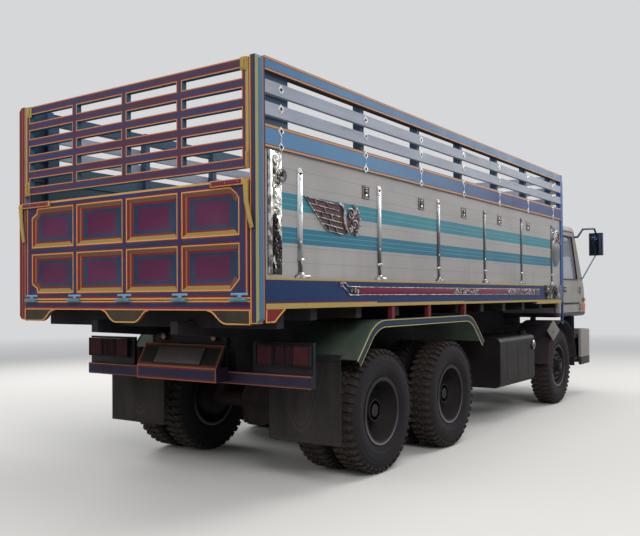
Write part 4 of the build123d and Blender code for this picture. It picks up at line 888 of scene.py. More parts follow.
class AddSideStraps(bpy.types.Operator):
    """Build the bright upright straps with their knuckles and feet"""

    bl_idname = "truck.add_side_straps"
    bl_label = "Side straps"

    def execute(self, context):
        low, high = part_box("side_straps")
        face = plank_face
        strap_metal = Finish("strap metal", metal=0.85)
        z, x = strap_metal.z, strap_metal.x
        stain_and_dark_reflection = strap_metal.noise(12.0, 4.0, (1, 1, 0.4))
        streak = strap_metal.noise(5.0, 3.0, (1, 1, 0.25))
        # Painted reflection: the bright metal darkens downwards and towards the front, in streaks, where
        # it would mirror the dark ground; below the knuckle it darkens more, partly rust
        dark_reflection_and_rust = (2.12 - z) * 1.6 + streak * 0.8 - 0.30 + (x - along(0.6)) * 0.35 + (z < 1.676) * 0.5
        shown = strap_metal.mix(dark_reflection_and_rust.held(), (204, 207, 207), (80, 78, 80))
        shown = strap_metal.mix(stain_and_dark_reflection.sharpen(0.56, 0.64) * 0.7, shown, (46, 42, 42))
        strap_metal.set("Base Color", shown).set("Roughness", stain_and_dark_reflection * 0.2 + 0.18)
        strap_metal.relief(stain_and_dark_reflection, 0.004, 0.4)

        first, pitch = low.x + 0.06, (high.x - low.x - 0.165) / 5
        neck = high.z - 0.030
        strap, joint = Shape(), Shape()
        # The bar, its raised middle, its lower part and its knuckle and foot: half width,
        # reach from the planks, foot, head, and softened edge
        for shape, half, proud, sunk, z0, z1, bevel, segments in (
            (strap, 0.030, 0.004, 0, 1.688, neck, 0.002, 2),
            (strap, 0.021, 0.0085, 0.002, 1.70, neck, 0.005, 3),
            (strap, 0.024, 0.006, 0, 1.585, 1.675, 0.003, 2),
            (strap, 0.006, 0.0095, 0.004, 1.590, 1.670, 0.002, 2),
            (joint, 0.032, 0.0120, 0, 1.670, 1.690, 0.004, 2),
            (joint, 0.034, 0.0125, 0, 1.5555, 1.594, 0.005, 2),
        ):
            shape.block((-half, face - proud, z0), (half, face - sunk, z1), bevel, segments=segments)
        strap.rod((0, face - 0.004, neck), (0, face, neck), 0.030, 32)
        strap.rod((0, face - 0.0085, neck), (0, face - 0.002, neck), 0.021, 32, 0.024)
        joint.rod((-0.035, face - 0.006, 1.679), (0.035, face - 0.006, 1.679), 0.006, 14)
        joint.block((-0.060, face - 0.012, 1.5555), (0.105, face, 1.577), 0.004)
        for z0 in (1.80, 2.05, neck - 0.045):
            joint.ball((0, face - 0.0085, z0), 0.0085, (1, 0.4, 1), rows=6)
        for x0 in (-0.046, 0.086):
            joint.ball((x0, face - 0.0125, 1.567), 0.006, rows=5)
        places = [Matrix.Translation((first + n * pitch, 0, 0)) for n in range(6)]
        strap.copies(places).both_sides()
        strap.piece(
            "bright_straps", strap_metal.material, slot="strap_chrome", stands_for=("side_straps",)
        )
        joint.copies(places).both_sides().piece("strap_joints", palette["chrome"], slot="strap_chrome")
        return {"FINISHED"}


class AddStuds(bpy.types.Operator):
    """Add the diamond studs on the slats and the slotted plates on the planks"""

    bl_idname = "truck.add_studs"
    bl_label = "Studs and slotted plates"

    def execute(self, context):
        tools = finishes()
        reach = context.scene.truck_sizes.stud
        outward = Matrix.Rotation(math.radians(90), 4, "X")
        stud, hole = Shape(), Shape()
        for shape, proud, wide, narrow, depth in (
            (stud, 0.001, 1.0, 0.94, 0.004), (stud, 0.0035, 0.86, 0.60, 0.002),
            (hole, 0.0035, 0.44, 0.44, 0.004),
        ):
            bmesh.ops.create_cone(
                shape.mesh, cap_ends=True, cap_tris=False, segments=4, radius1=reach * wide,
                radius2=reach * narrow, depth=depth,
                matrix=Matrix.Translation((0, sill_face - proud, 0)) @ outward,
            )
        # Places of the studs along the body, and their heights on the band and the slats
        columns = [
            share * body_length for share in (0.0371, 0.2097, 0.3598, 0.5042, 0.6520, 0.7944, 0.9402)
        ]
        heights = (2.409, 2.513, 2.660, 2.785)
        places = [Matrix.Translation((along(x), 0, z)) for x in columns for z in heights]
        stud.copies(places).both_sides().piece("diamond_studs", tools["pale"], slot="strap_chrome")
        # The black insert in each stud is painted shade in its hole
        hole.copies(places).both_sides().piece("stud_hole_shade", tools["black"], slot="strap_chrome")

        chain = Shape()
        for x in columns:
            for n in range(5):
                lean = 0.004 if n % 2 else -0.004
                link = (along(x) + lean, sill_face - 0.0015, 2.434 + n * 0.0135)
                chain.ball(link, 0.0075, (0.62, 0.4, 1), rows=4)
        chain.both_sides().piece("stud_chains", tools["pale"], slot="strap_chrome")

        # Slotted plates: a rim, a black block of painted shade for the pocket, and the bright tongue in it
        panel, half, plate_z = plank_face, 0.052, 2.23
        plate, pocket, tongue = Shape(), Shape(), Shape()
        plate.block((-half, panel - 0.003, -0.050), (half, panel + 0.001, 0.050), 0.0015)
        plate.surround((-half, panel - 0.0065, -0.050), (half, panel - 0.001, 0.050), 0, 0.011)
        pocket.block((-0.025, panel - 0.0045, -0.018), (0.025, panel - 0.002, 0.030), 0.001)
        tongue.block((-0.018, panel - 0.0075, -0.034), (0.018, panel - 0.002, -0.012), 0.003)
        tongue.ball((0.0, panel - 0.006, 0.010), 0.009, (1, 0.5, 1), rows=6)
        places = [Matrix.Translation((along(x + 0.018), 0, plate_z)) for x in columns[1:]]
        steel = Finish("plate metal", metal=0.5)
        grey = steel.patches(20.0, 4.0, (0.35, 0.65), (112, 110, 110), (84, 80, 80))
        plate.copies(places).lathe(
            ((0.0, 0.028), (0.006, 0.030), (0.007, 0.043), (0.0, 0.046)),
            (along(0.262), panel, plate_z), (0, -1, 0), 28,
        )
        plate.both_sides().piece("slotted_plates", steel.dress(grey, 0.1, 3.0), slot="strap_chrome")
        narrow = Matrix.Translation((along(0.262), 0, 2.24)) @ Matrix.Scale(0.55, 4, (1, 0, 0))
        pocket.copies(places + [narrow]).both_sides()
        pocket.piece("plate_pocket_shade", tools["black"], slot="strap_chrome")
        tongue.copies(places).both_sides().piece("plate_tongues", tools["chrome"], slot="strap_chrome")
        return {"FINISHED"}


def scroll(shape, centre, size, turn, wall_y, flip, turns, thick):
    """A spiral of tapering beads on a wall, for stamped ornament."""
    steps = 18
    last = None
    for n in range(steps + 1):
        share = n / steps
        angle = turn + flip * share * turns * math.tau
        radius = size * (1 - share * 0.82)
        point = (centre[0] + radius * math.cos(angle), wall_y, centre[1] + radius * math.sin(angle))
        if last:
            shape.rod(last, point, thick * (1.1 - share * 0.5), 7, thick * (1.05 - share * 0.5))
        last = point
    shape.ball(last, thick * 1.5, (1, 0.6, 1), rows=5)


def feather(shape, root, tip, width, wall_y, depth):
    """One long leaf on a wall, from its root to its tip."""
    root, tip = Vector((root[0], wall_y, root[1])), Vector((tip[0], wall_y, tip[1]))
    run = tip - root
    turn = Matrix.Rotation(-math.atan2(run.z, run.x), 4, "Y")
    half = run.length / 2
    shape.ball((root + tip) / 2, half, (1, depth / half, width / run.length), turn, rows=7)


class AddSideOrnaments(bpy.types.Operator):
    """Add the stamped strips, the winged scroll and the long inset of the sill"""

    bl_idname = "truck.add_side_ornaments"
    bl_label = "Side ornaments"

    def execute(self, context):
        tools = finishes()

        def hang(shape, name, material, slot="strap_chrome"):
            shape.both_sides().piece(name, material, slot=slot)

        self.add_strips(tools, hang)
        self.add_wings(tools, hang)
        self.add_insets(tools, hang)
        self.add_front_end(tools, hang)
        return {"FINISHED"}

    def add_strips(self, tools, hang):
        """Stamped strip at the rear of the planks: a plain bar and a column of leaves."""
        strip, bar = Shape(), Shape()
        rear, panel = along(0.100), plank_face
        strip.block((rear, panel - 0.0035, strip_low), (along(0.252), panel, strip_high), 0.002)
        random.seed(4)
        rows, first, last = 9, 1.64, 2.33
        for n in range(rows):
            z = first + n * (last - first) / (rows - 1)
            flip = 1 if n % 2 else -1
            centre = (along(0.200 + flip * 0.012), z)
            scroll(strip, centre, 0.034, 0.6 * n, panel - 0.006, flip, 1.0, 0.009)
            for m in range(3):
                lean = random.uniform(-0.3, 0.3)
                start = (along(0.200 - flip * 0.008), z - 0.016)
                spread = math.radians(70 + 38 * (m - 1)) + lean
                rise = 0.064 * math.sin(spread)
                end = (start[0] - flip * 0.040 * math.cos(spread), start[1] + rise)
                feather(strip, start, end, 0.030, panel - 0.005, 0.008)
        hang(strip, "stamped_strips", tools["stamped"])
        bar.block((rear, panel - 0.008, strip_low), (along(0.146), panel, strip_high), 0.004)
        hang(bar, "strip_edges", tools["chrome"])

    def add_wings(self, tools, hang):
        """Winged scroll: five rows of long cells over a dark red sheet of painted shade, then curls."""
        crest, ground = Shape(), Shape()
        near, rows = plank_face - 0.0065, 5
        high_z, fall, dip = 2.118, 0.0425, 0.022
        starts = [0.505 + row * 0.052 for row in range(rows)]
        ends = [0.915 + row * 0.018 for row in range(rows)]
        for row in range(rows + 1):
            last = min(row, rows - 1)
            z, x0, x1 = high_z - row * fall, starts[last] + (row - last) * 0.05, ends[last]
            crest.rod((along(x0), near, z), (along(x1), near, z - dip), 0.0036, 8, 0.0046)
        for row, (x0, x1) in enumerate(zip(starts, ends)):
            z = high_z - row * fall
            crest.rod((along(x0), near, z), (along(x0 + 0.052), near, z - fall), 0.0044, 8, 0.0034)
            crest.ball((along(x0 + 0.004), near, z - 0.002), 0.0070, (1.5, 0.7, 1), rows=5)
            for share in (0.66,) if row % 2 else (0.30, 0.66):
                xm = x0 + (x1 - x0) * (share - 0.16 * (row % 2))
                zm = z - dip * share
                crest.rod((along(xm), near, zm), (along(xm + 0.022), near, zm - fall), 0.0036, 8)
        # The wing's bright shoulder and the curls in front of it
        bend = (
            (0.93, 2.112), (0.985, 2.096), (1.012, 2.055), (1.005, 2.000), (1.022, 1.945),
            (1.055, 1.905),
        )
        shoulder = Shape().chain([(along(x), near, z) for x, z in bend], 0.0105, 10, 5)
        for x, z, size, turn, flip, turns in (
            (1.100, 2.040, 0.050, 2.4, -1, 1.35), (1.165, 2.065, 0.032, 0.4, 1, 1.2),
            (1.150, 1.965, 0.050, -1.2, 1, 1.3), (1.090, 1.930, 0.030, 1.4, -1, 1.1),
            (1.205, 1.925, 0.026, 2.9, -1, 1.1),
        ):
            scroll(crest, (along(x), z), size, turn, near, flip, turns, 0.0068)
        fan = (-62, 168)
        for (x, z), (dx, dz) in zip(ring(7, 0.078, 0.096, *fan), ring(7, 0.036, None, *fan)):
            root = (along(1.13) + x, 1.995 + z)
            feather(crest, root, (root[0] + dx, root[1] + dz), 0.020, near, 0.006)
        outline = (
            (0.505, high_z), (0.93, high_z - 0.008), (1.02, 2.07), (1.01, 1.99), (1.06, 1.897),
            (0.98, high_z - rows * fall - dip), (0.765, high_z - rows * fall),
        )
        pool = [(1.135 + x, 1.99 + z) for x, z in ring(20, 0.088, 0.104)]
        for edge in (outline, pool):
            ground.sheet([(along(x), plank_face - 0.0025, z) for x, z in edge], (0, 0.0025, 0))
        hang(crest, "winged_scrolls", tools["dull"])
        hang(shoulder, "wing_shoulders", tools["chrome"])
        # Painted shade: the dark red sheet behind the wing's openwork
        shadow = Finish("wing shade sheet", rough=0.4, metal=0.2)
        shadow.set("Base Color", shadow.patches(18.0, 4.0, (0.4, 0.6), (54, 42, 46), (82, 50, 54)))
        hang(ground, "scroll_backing", shadow.material)

    def add_insets(self, tools, hang):
        """Long crimson inset of the sill, edged and closed by bright scrolls."""
        inset, edging, ends, shade = Shape(), Shape(), Shape(), Shape()
        wall = sill_face
        inset.block((along(1.20), wall - 0.0025, 1.443), (along(5.02), wall, 1.498), 0.001)
        for z in (1.4405, 1.4995):
            edging.rod((along(1.18), wall - 0.002, z), (along(5.30), wall - 0.002, z), 0.0024, 8)
        # Hooked end of the inset: place, height and radius
        hook = (
            (0.925, 1.500, 0.004), (0.930, 1.524, 0.006), (0.965, 1.532, 0.007), (1.000, 1.524, 0.007),
            (1.022, 1.505, 0.006), (1.050, 1.501, 0.006), (1.195, 1.501, 0.005),
        )
        lower = (
            (0.925, 1.500, 0.004), (0.958, 1.505, 0.005), (1.005, 1.478, 0.005),
            (1.060, 1.440, 0.005), (1.205, 1.438, 0.004),
        )
        for route in (hook, lower):
            places = [(along(x), wall - 0.003, z) for x, z, _ in route]
            ends.chain(places, [radius for *_, radius in route], rows=4)
        scroll(ends, (along(0.965), 1.508), 0.017, 1.2, wall - 0.004, 1, 1.0, 0.004)
        for n in range(3):
            flip, centre = -1 if n % 2 else 1, (along(1.085 + n * 0.042), 1.470)
            scroll(ends, centre, 0.019, 2.0 * n, wall - 0.004, flip, 1.1, 0.004)
        # Black blocks of painted shade behind the scrolls of the inset
        for x0, x1 in ((1.06, 1.20), (2.87, 3.45), (4.24, 5.33)):
            shade.block((along(x0), wall - 0.0015, 1.440), (along(x1), wall, 1.500), 0.001)
        for x0, count in ((2.885, 9), (4.26, 16)):
            for n in range(count):
                flip, x = 1 if n % 2 else -1, x0 + n * 0.064
                centre = (along(x + 0.02), 1.470 + flip * 0.006)
                scroll(ends, centre, 0.026, 1.2 * n, wall - 0.004, flip, 1.1, 0.0052)
                tip = (along(x + 0.070), 1.47 - flip * 0.022)
                feather(ends, (along(x + 0.030), 1.47), tip, 0.013, wall - 0.004, 0.004)
        hang(inset, "sill_insets", tools["crimson"], "navy_paint")
        hang(shade, "scroll_grounds", tools["black"], "navy_paint")
        hang(edging, "inset_edging", tools["dull"])
        hang(ends, "inset_scrolls", tools["dull"])

    def add_front_end(self, tools, hang):
        """An oval boss on the planks and a stamped square on the sill."""
        boss, rings, square = Shape(), Shape(), Shape()
        middle, centre, panel, wall = along(5.99), 2.015, plank_face, sill_face
        boss.ball((middle, panel, centre), 0.165, (1, 0.10, 1.39), rows=20)
        for n in range(4):
            size, drop, y = 0.150 - n * 0.034, 0.030 + n * 0.012, panel - 0.012 - n * 0.002
            arc = ring(13, size, size * 1.28, 8, 13 * 13.7)
            rings.chain([(middle + x, y, centre + drop + z) for x, z in arc], 0.0085)
        skin = Finish("boss metal", metal=0.8)
        metal_noise = skin.noise(9.0, 3.0)
        shaded = ((centre + 0.02 - skin.z) * 12.0 + metal_noise).held()
        skin.set("Base Color", skin.mix(shaded, (132, 136, 140), (86, 90, 88)))
        skin.set("Roughness", metal_noise * 0.25 + 0.2).relief(metal_noise, 0.006, 0.4)
        hang(boss, "front_bosses", skin.material)
        hang(rings, "boss_rings", tools["dull"])
        square.block((along(5.49), wall - 0.004, 1.380), (along(6.15), wall, 1.553), 0.003)
        square.block((along(5.55), wall - 0.010, 1.528), (along(6.12), wall, 1.550), 0.005)
        for n in range(4):
            size = 0.085 - n * 0.02
            arc = ring(11, size * 1.3, size, 90, 11 * 18)
            square.chain([(along(5.62) + x, wall - 0.006, 1.462 + z) for x, z in arc], 0.0055)
        rose_x, rose_z = along(5.89), 1.460
        scroll(square, (rose_x, rose_z), 0.070, 0.5, wall - 0.007, 1, 2.2, 0.0075)
        for (x0, z0), (x1, z1) in zip(ring(8, 0.062, 0.050), ring(8, 0.112, 0.078)):
            root, tip = (rose_x + x0, rose_z + z0), (rose_x + x1, rose_z + z1)
            feather(square, root, tip, 0.026, wall - 0.006, 0.006)
        hang(square, "front_squares", tools["stamped"])


class DressGuards(bpy.types.Operator):
    """Paint the mudguards, flaps and guard pipes"""

    bl_idname = "truck.dress_guards"
    bl_label = "Mudguards, flaps and guard pipes"

    def execute(self, context):
        c = context.scene.truck_colours
        tools = finishes()
        guard = Finish("mudguard paint")
        x, z, out = guard.x, guard.z, abs(guard.y)
        shade = guard.noise(2.4, 5.0)
        skin = guard.mix(shade.sharpen(0.35, 0.7), c.guard, (52, 60, 56))
        skin = guard.mix(guard.noise(9.0, 6.0).sharpen(0.55, 0.75) * 0.4, skin, (74, 66, 56))

        # Distance from the lip's middle line, by its three runs and two rounded corners
        shift = -0.026
        radius = 0.33
        turns = ((1.190, 0.945), (1.460, 1.236), (3.300, 1.236), (3.585, 0.972))
        knots = [(along(px), pz + shift) for px, pz in turns]
        normals = []
        for (x0, z0), (x1, z1) in zip(knots[:-1], knots[1:]):
            run = Vector((x1 - x0, z1 - z0)).normalized()
            normals.append((Vector((-run.y, run.x)), run, Vector((x0, z0))))
        lines = [(x - p.x) * n.x + (z - p.y) * n.y for n, run, p in normals]
        depth = lines[0].most(lines[1], lines[2])
        for index in (0, 1):
            (n0, r0, _), (n1, r1, p1) = normals[index], normals[index + 1]
            lean = (n0 + n1).normalized()
            pivot = p1 - lean * (radius / lean.dot(n0))
            dx, dz = x - pivot.x, z - pivot.y
            cone = ((dx * r0.x + dz * r0.y) > 0.0) * ((dx * r1.x + dz * r1.y) < 0.0)
            round_depth = (dx * dx + dz * dz).math("SQRT") - radius
            depth = depth * (1 - cone) + round_depth * cone
        lip = guard.layers(
            depth, (158, 152, 98), (-0.0235, (24, 31, 46)), (-0.012, (28, 41, 66)),
            (0.012, (24, 31, 46)), (0.0235, (158, 152, 98)),
        )
        colour = guard.mix(out > half_width - 0.0085, skin, lip)
        strut = (z > 1.2445) * (out < half_width - 0.009)
        colour = guard.mix(strut, colour, (96, 34, 40))
        soften("mudguards", guard.dress(colour, 0.25, 1.6, rough=0.5), 0.002)

        # Flaps: dark rubber with two pressed loops on each
        rubber = Finish("flap rubber", gloss=0.15)
        scuff = rubber.noise(5.0, 6.0, (1, 1, 0.25))
        across = (abs(rubber.y) - 0.877) / 0.192
        outer, inner = (rubber.z - 0.412) / 0.41, (rubber.z - 0.462) / 0.41
        first = abs(outer - across * across)
        second = abs(inner - across * across * 1.55)
        loop = (first.least(second) < 0.028) * (rubber.z < 0.90)
        base = rubber.mix(scuff.sharpen(0.42, 0.72), (32, 31, 32), (50, 45, 42))
        base = rubber.mix(loop * 0.5, base, (58, 53, 50))
        colour = rubber.dress(base, 0.15, 1.2, 0.8, 0.004)
        rubber.relief(scuff * 0.5 + loop, 0.004, 0.6)
        soften("mudflaps", colour, 0.002)
        folds = Shape()
        low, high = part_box("mudflaps")
        for _, side in sides:
            folds.block(
                (low.x - 0.006, side * 0.585, high.z - 0.05), (low.x, side * 1.23, high.z - 0.022),
                0.002,
            )
            for n in range(6):
                y = side * (0.62 + n * 0.118)
                folds.rod((low.x - 0.012, y, high.z - 0.036), (low.x - 0.005, y, high.z - 0.036), 0.009, 6)
            folds.block((low.x - 0.003, side * 0.578, low.z), (low.x, side * 1.237, low.z + 0.03), 0.001)
        folds.piece("flap_clamps", tools["iron"], slot="chassis_black")

        pipe = Finish("guard pipe paint")
        colour = pipe.mix(pipe.noise(8.0, 5.0).sharpen(0.35, 0.7), (54, 74, 118), (38, 54, 98))
        colour = pipe.mix(pipe.z < 1.085, colour, (84, 90, 112))
        soften("guard_pipes", pipe.dress(colour, 0.2, 1.8), 0.002)
        return {"FINISHED"}


class DressRearBar(bpy.types.Operator):
    """Paint the rear bar and plate board, and build the tail lamps"""

    bl_idname = "truck.dress_rear_bar"
    bl_label = "Rear bar and lamps"

    def execute(self, context):
        c, line = context.scene.truck_colours, context.scene.truck_sizes.line
        tools = finishes()
        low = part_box("rear_bumper")[0]
        bar_top = 0.868
        bar = Finish("rear bar paint")
        x, z = bar.x, bar.z
        shade = bar.noise(7.0, 5.0)
        blue = bar.mix(shade.sharpen(0.35, 0.7), (38, 38, 60), (33, 31, 48))
        colour = bar.layers(
            z, (108, 74, 64), (low.z + line * 0.9, (84, 32, 40)), (low.z + line * 1.7, blue),
            (bar_top - line * 1.9, (84, 32, 40)), (bar_top - line * 1.1, (124, 80, 62)),
            (bar_top + 0.0005, (30, 28, 31)),
        )
        colour = bar.mix(x > along(0.643), colour, (28, 27, 30))
        soften("rear_bumper", bar.dress(colour, 0.2, 1.3), 0.003)

        # Plate board: red and orange border round a bare plate, painted lip below
        low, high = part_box("plate_board")
        lip_top, half_board = 0.895, 0.425
        board = Finish("plate board paint")
        z, out = board.z, abs(board.y)
        slope = board.mix(board.noise(8.0, 5.0), (36, 37, 30), (28, 27, 28))
        edge = (half_board - out).least(high.z - z).least(z - lip_top)
        slope = board.layers(
            -edge, slope, (-0.022, (84, 54, 44)), (-0.012, (96, 36, 38)), (-0.007, (126, 84, 56)),
        )
        lip_edge = (half_board - out).least(lip_top - z).least(z - low.z)
        lip = board.layers(
            -lip_edge, board.mix(board.noise(6.0), (40, 38, 66), (32, 36, 56)),
            (-0.022, (96, 30, 38)), (-0.008, (134, 88, 54)),
        )
        colour = board.mix(z < lip_top + 0.0002, slope, lip)
        colour = board.mix(out > half_board - 0.0005, colour, (30, 29, 40))
        soften("plate_board", board.dress(colour, 0.15, 1.3), 0.002)
        plate, plate_frame = Shape(), Shape()
        turn = Matrix.Rotation(math.atan2(0.1, high.z - lip_top), 4, "Y")
        middle, half_wide, half_tall = Vector((along(0.544), 0, 0.978)), 0.250, 0.070
        reach = Vector((0.002, half_wide, half_tall))
        plate.block(middle - reach, middle + reach, 0.0015, turn)
        bare = Finish("bare plate", metal=0.1)
        grey = bare.mix(bare.noise(14.0, 5.0), (84, 78, 76), (64, 58, 58))
        plate.piece("bare_plate", bare.dress(grey, 0.15), slot="chassis_black")
        corners = [
            middle + turn @ Vector((-0.002, y * (half_wide + 0.002), z * (half_tall + 0.002)))
            for y, z in ((-1, -1), (-1, 1), (1, 1), (1, -1))
        ]
        plate_frame.chain(corners, 0.004, closed=True)
        plate_frame.piece("plate_frame", tools["iron"], slot="chassis_black")

        # Tail lamps: bright ribbed lenses, dark red ones between them, each in a dark frame
        lens, dim, rims, round_lens = Shape(), Shape(), Shape(), Shape()
        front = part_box("tail_lamps")[0].x
        for _, side in sides:
            for shape, y, half in (
                (lens, 0.77, 0.070), (dim, 0.905, 0.046), (dim, 0.982, 0.026), (lens, 1.10, 0.074)
            ):
                y *= side
                shape.block(
                    (front + 0.006, y - half, 0.936), (front + 0.035, y + half, 1.079), 0.008, segments=3
                )
                ribs = round(half / 0.01)
                for n in range(ribs):
                    rib = y - half + 0.01 + n * (2 * half - 0.02) / max(ribs - 1, 1)
                    shape.rod((front + 0.006, rib, 0.945), (front + 0.006, rib, 1.07), 0.004, 8)
                reach = half + 0.008
                rims.surround((front, y - reach, 0.930), (front + 0.035, y + reach, 1.085), 1, 0.008)
            place = Vector((front + 0.005, side * 0.27, 1.115))
            round_lens.ball(place + Vector((0.008, 0, 0)), 0.027, (0.5, 1, 1), rows=10)
            rims.lathe(((0, 0.024), (0.0, 0.030), (0.03, 0.030), (0.03, 0.024)), place, (1, 0, 0), 32)
        for shape, name, bright, deep in (
            (lens, "tail_lenses", c.lamp, (52, 22, 26)),
            (dim, "dark_lenses", (46, 19, 26), (36, 16, 21)),
        ):
            glow = Finish(name.replace("_", " "), rough=0.35)
            glow.set("Base Color", glow.patches(20.0, 4.0, (0.35, 0.7), bright, deep))
            glow.relief(glow.z.nearest(0.93, 0.012), 0.004, 0.4)
            shape.piece(name, glow.material, slot="lamp_red", stands_for=("tail_lamps",))
        amber = Finish("round lens", rough=0.25, coat=0.3)
        amber.set("Base Color", amber.mix(amber.noise(40.0), (146, 112, 100), (108, 72, 62)))
        round_lens.piece("round_lenses", amber.material, slot="lamp_red")
        rims.piece("lamp_rims", tools["black"], slot="lamp_red")
        return {"FINISHED"}


class DressUnderbody(bpy.types.Operator):
    """Paint the frame, axles, springs, tanks and the machinery under the body"""

    bl_idname = "truck.dress_underbody"
    bl_label = "Underbody"

    def execute(self, context):
        tools = finishes()
        for key, slot, *group in (
            ("chassis", "chassis_black", "chassis_frame", "air_tanks"),
            ("chassis", "bearer_paint", "subframe", "floor_bearers"),
            ("iron", "cast_metal", "rear_axles", "front_axle", "knuckle_left", "knuckle_right",
             "track_rod", "engine_block", "driveline"),
            ("black", "box_black", "battery_box"),
            ("chassis", "step_steel", "cab_steps"),
        ):
            for node in group:
                soften(node, tools[key], 0.003)
        leaf = Finish("leaf springs", gloss=0.2)
        stack = leaf.patches(6.0, 6.0, (0.35, 0.7), (34, 31, 31), (52, 42, 38))
        stack = leaf.mix(leaf.z.nearest(0.6, 0.018) < 0.0025, stack, (14, 13, 14))
        soften("springs", leaf.dress(stack, 0.3, 1.2, 0.65, 0.003), 0.002)
        # The near-black wall is painted shade: the tank hangs in deep shade under the body
        tank = Finish("fuel tank", metal=0.15)
        wall = tank.patches(4.0, 6.0, (0.4, 0.7), (21, 20, 23), (30, 27, 29))
        soften("fuel_tank", tank.dress(wall, 0.3, 1.2, 0.5), 0.004)
        pipe = Finish("exhaust steel", metal=0.3)
        heat = pipe.patches(9.0, 6.0, (0.35, 0.7), (66, 56, 50), (44, 36, 34))
        soften("exhaust", pipe.dress(heat, 0.4, 1.2, 0.6), 0.003)

        # Bolts along the frame rails, tank bands, the tank's cap and an outlet pipe
        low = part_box("chassis_frame")[0]
        bolt = Shape()
        for _, side in sides:
            for n in range(38):
                x = low.x + 0.15 + n * 0.176
                if abs(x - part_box("front_axle")[0].x) < 0.1:
                    continue
                for z in (0.83, 0.99):
                    bolt.rod((x, side * 0.46, z), (x, side * 0.467, z), 0.010, 6)
        bolt.piece("frame_bolts", tools["iron"], slot="chassis_black")
        bands, cap = Shape(), Shape()
        low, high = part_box("fuel_tank")
        for share in (0.2, 0.5, 0.8):
            x = low.x + (high.x - low.x) * share
            bands.block((x - 0.02, low.y - 0.0005, 0.48), (x + 0.02, low.y + 0.005, 0.90), 0.002)
        bands.piece("tank_bands", tools["iron"], slot="tank_metal")
        rim = ((0.0, 0.052), (0.018, 0.052), (0.022, 0.046), (0.026, 0.030), (0.026, 0.0))
        cap.lathe(rim, (high.x - 0.07, low.y, 0.83), (0, -1, 0), 36, closed=False)
        cap.block((high.x - 0.078, low.y - 0.032, 0.80), (high.x - 0.062, low.y - 0.024, 0.86), 0.002)
        cap.piece("filler_cap", tools["chrome"], slot="tank_metal")
        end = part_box("exhaust")[0].x
        outlet = [
            (end + 0.02, -0.66, 0.64), (end - 0.02, -0.665, 0.635), (end - 0.05, -0.68, 0.61),
            (end - 0.062, -0.70, 0.56), (end - 0.064, -0.71, 0.50),
        ]
        bead("exhaust_outlet", outlet, 0.034, pipe.material)

        # Blank diamond plate on a bracket behind the cab, turned a little to the rear
        sign, hanger = Shape(), Shape()
        place, half_side = Vector((along(5.97), -1.20, 0.98)), 0.27 / 2 * 0.7071
        turn = Matrix.Rotation(math.radians(-17), 4, "Z") @ Matrix.Rotation(math.radians(45), 4, "Y")
        reach = Vector((half_side, 0.002, half_side))
        sign.block(place - reach, place + reach, 0.003, turn)
        grey = Finish("bare sign", metal=0.1)
        sign_paint = grey.dress(grey.mix(grey.noise(22.0), (128, 124, 120), (98, 94, 92)), 0.2)
        sign.piece("bare_diamond", sign_paint, slot="tank_metal")
        hanger.rod(place + Vector((0, 0.008, -0.02)), (2.186, -1.13, 0.922), 0.010, 10)
        hanger.ball(place + Vector((0, 0.006, -0.02)), 0.016, (1, 0.6, 1), rows=6)
        hanger.piece("diamond_hanger", tools["iron"], slot="chassis_black")
        return {"FINISHED"}


def tyre_form(depth, lugs):
    """One tyre about the Y axis at the origin: casing, bead rings and blocks of tread."""
    form = Shape()
    base = 0.5 - depth
    half = (
        (0.0, base), (0.062, base - 0.001), (0.092, base - 0.010), (0.112, base - 0.030),
        (0.121, 0.425), (0.1248, 0.395), (0.1240, 0.365), (0.1195, 0.335), (0.1135, 0.318),
        (0.1115, 0.3165), (0.1095, 0.303), (0.101, 0.289), (0.0955, 0.281), (0.093, 0.2575),
    )
    profile = [(y, r) for y, r in half] + [(-y, r) for y, r in reversed(half[1:])]
    form.lathe(profile, (0, 0, 0), (0, 1, 0), 72)
    step = math.tau / lugs
    seed = Shape()
    for side in (-1, 1):
        # Shoulder lug: a crown block and a flank block that leans down the shoulder
        crown = Matrix.Rotation(math.radians(side * 8), 4, "Z")
        foot = base - 0.006
        seed.block((-0.018, side * 0.040, foot), (0.016, side * 0.101, 0.4985), 0.003, crown, 1)
        flank = Matrix.Rotation(math.radians(side * -36), 4, "X")
        seed.block(
            (-0.019, side * 0.090, base - 0.026), (0.015, side * 0.120, base - 0.004), 0.002, flank, 1
        )
    skew = Matrix.Rotation(0.35, 4, "Z")
    seed.block((-0.026, -0.0305, foot), (0.004, -0.004, 0.4995), 0.002, skew, 1)
    seed.block((-0.004, 0.004, foot), (0.026, 0.0305, 0.4995), 0.002, skew, 1)
    seed.copies([Matrix.Rotation(n * step, 4, "Y") for n in range(lugs)])
    tread = seed.made("tread")
    form.mesh.from_mesh(tread)
    bpy.data.meshes.remove(tread)
    bmesh.ops.recalc_face_normals(form.mesh, faces=form.mesh.faces)
    return form.made("tyre")


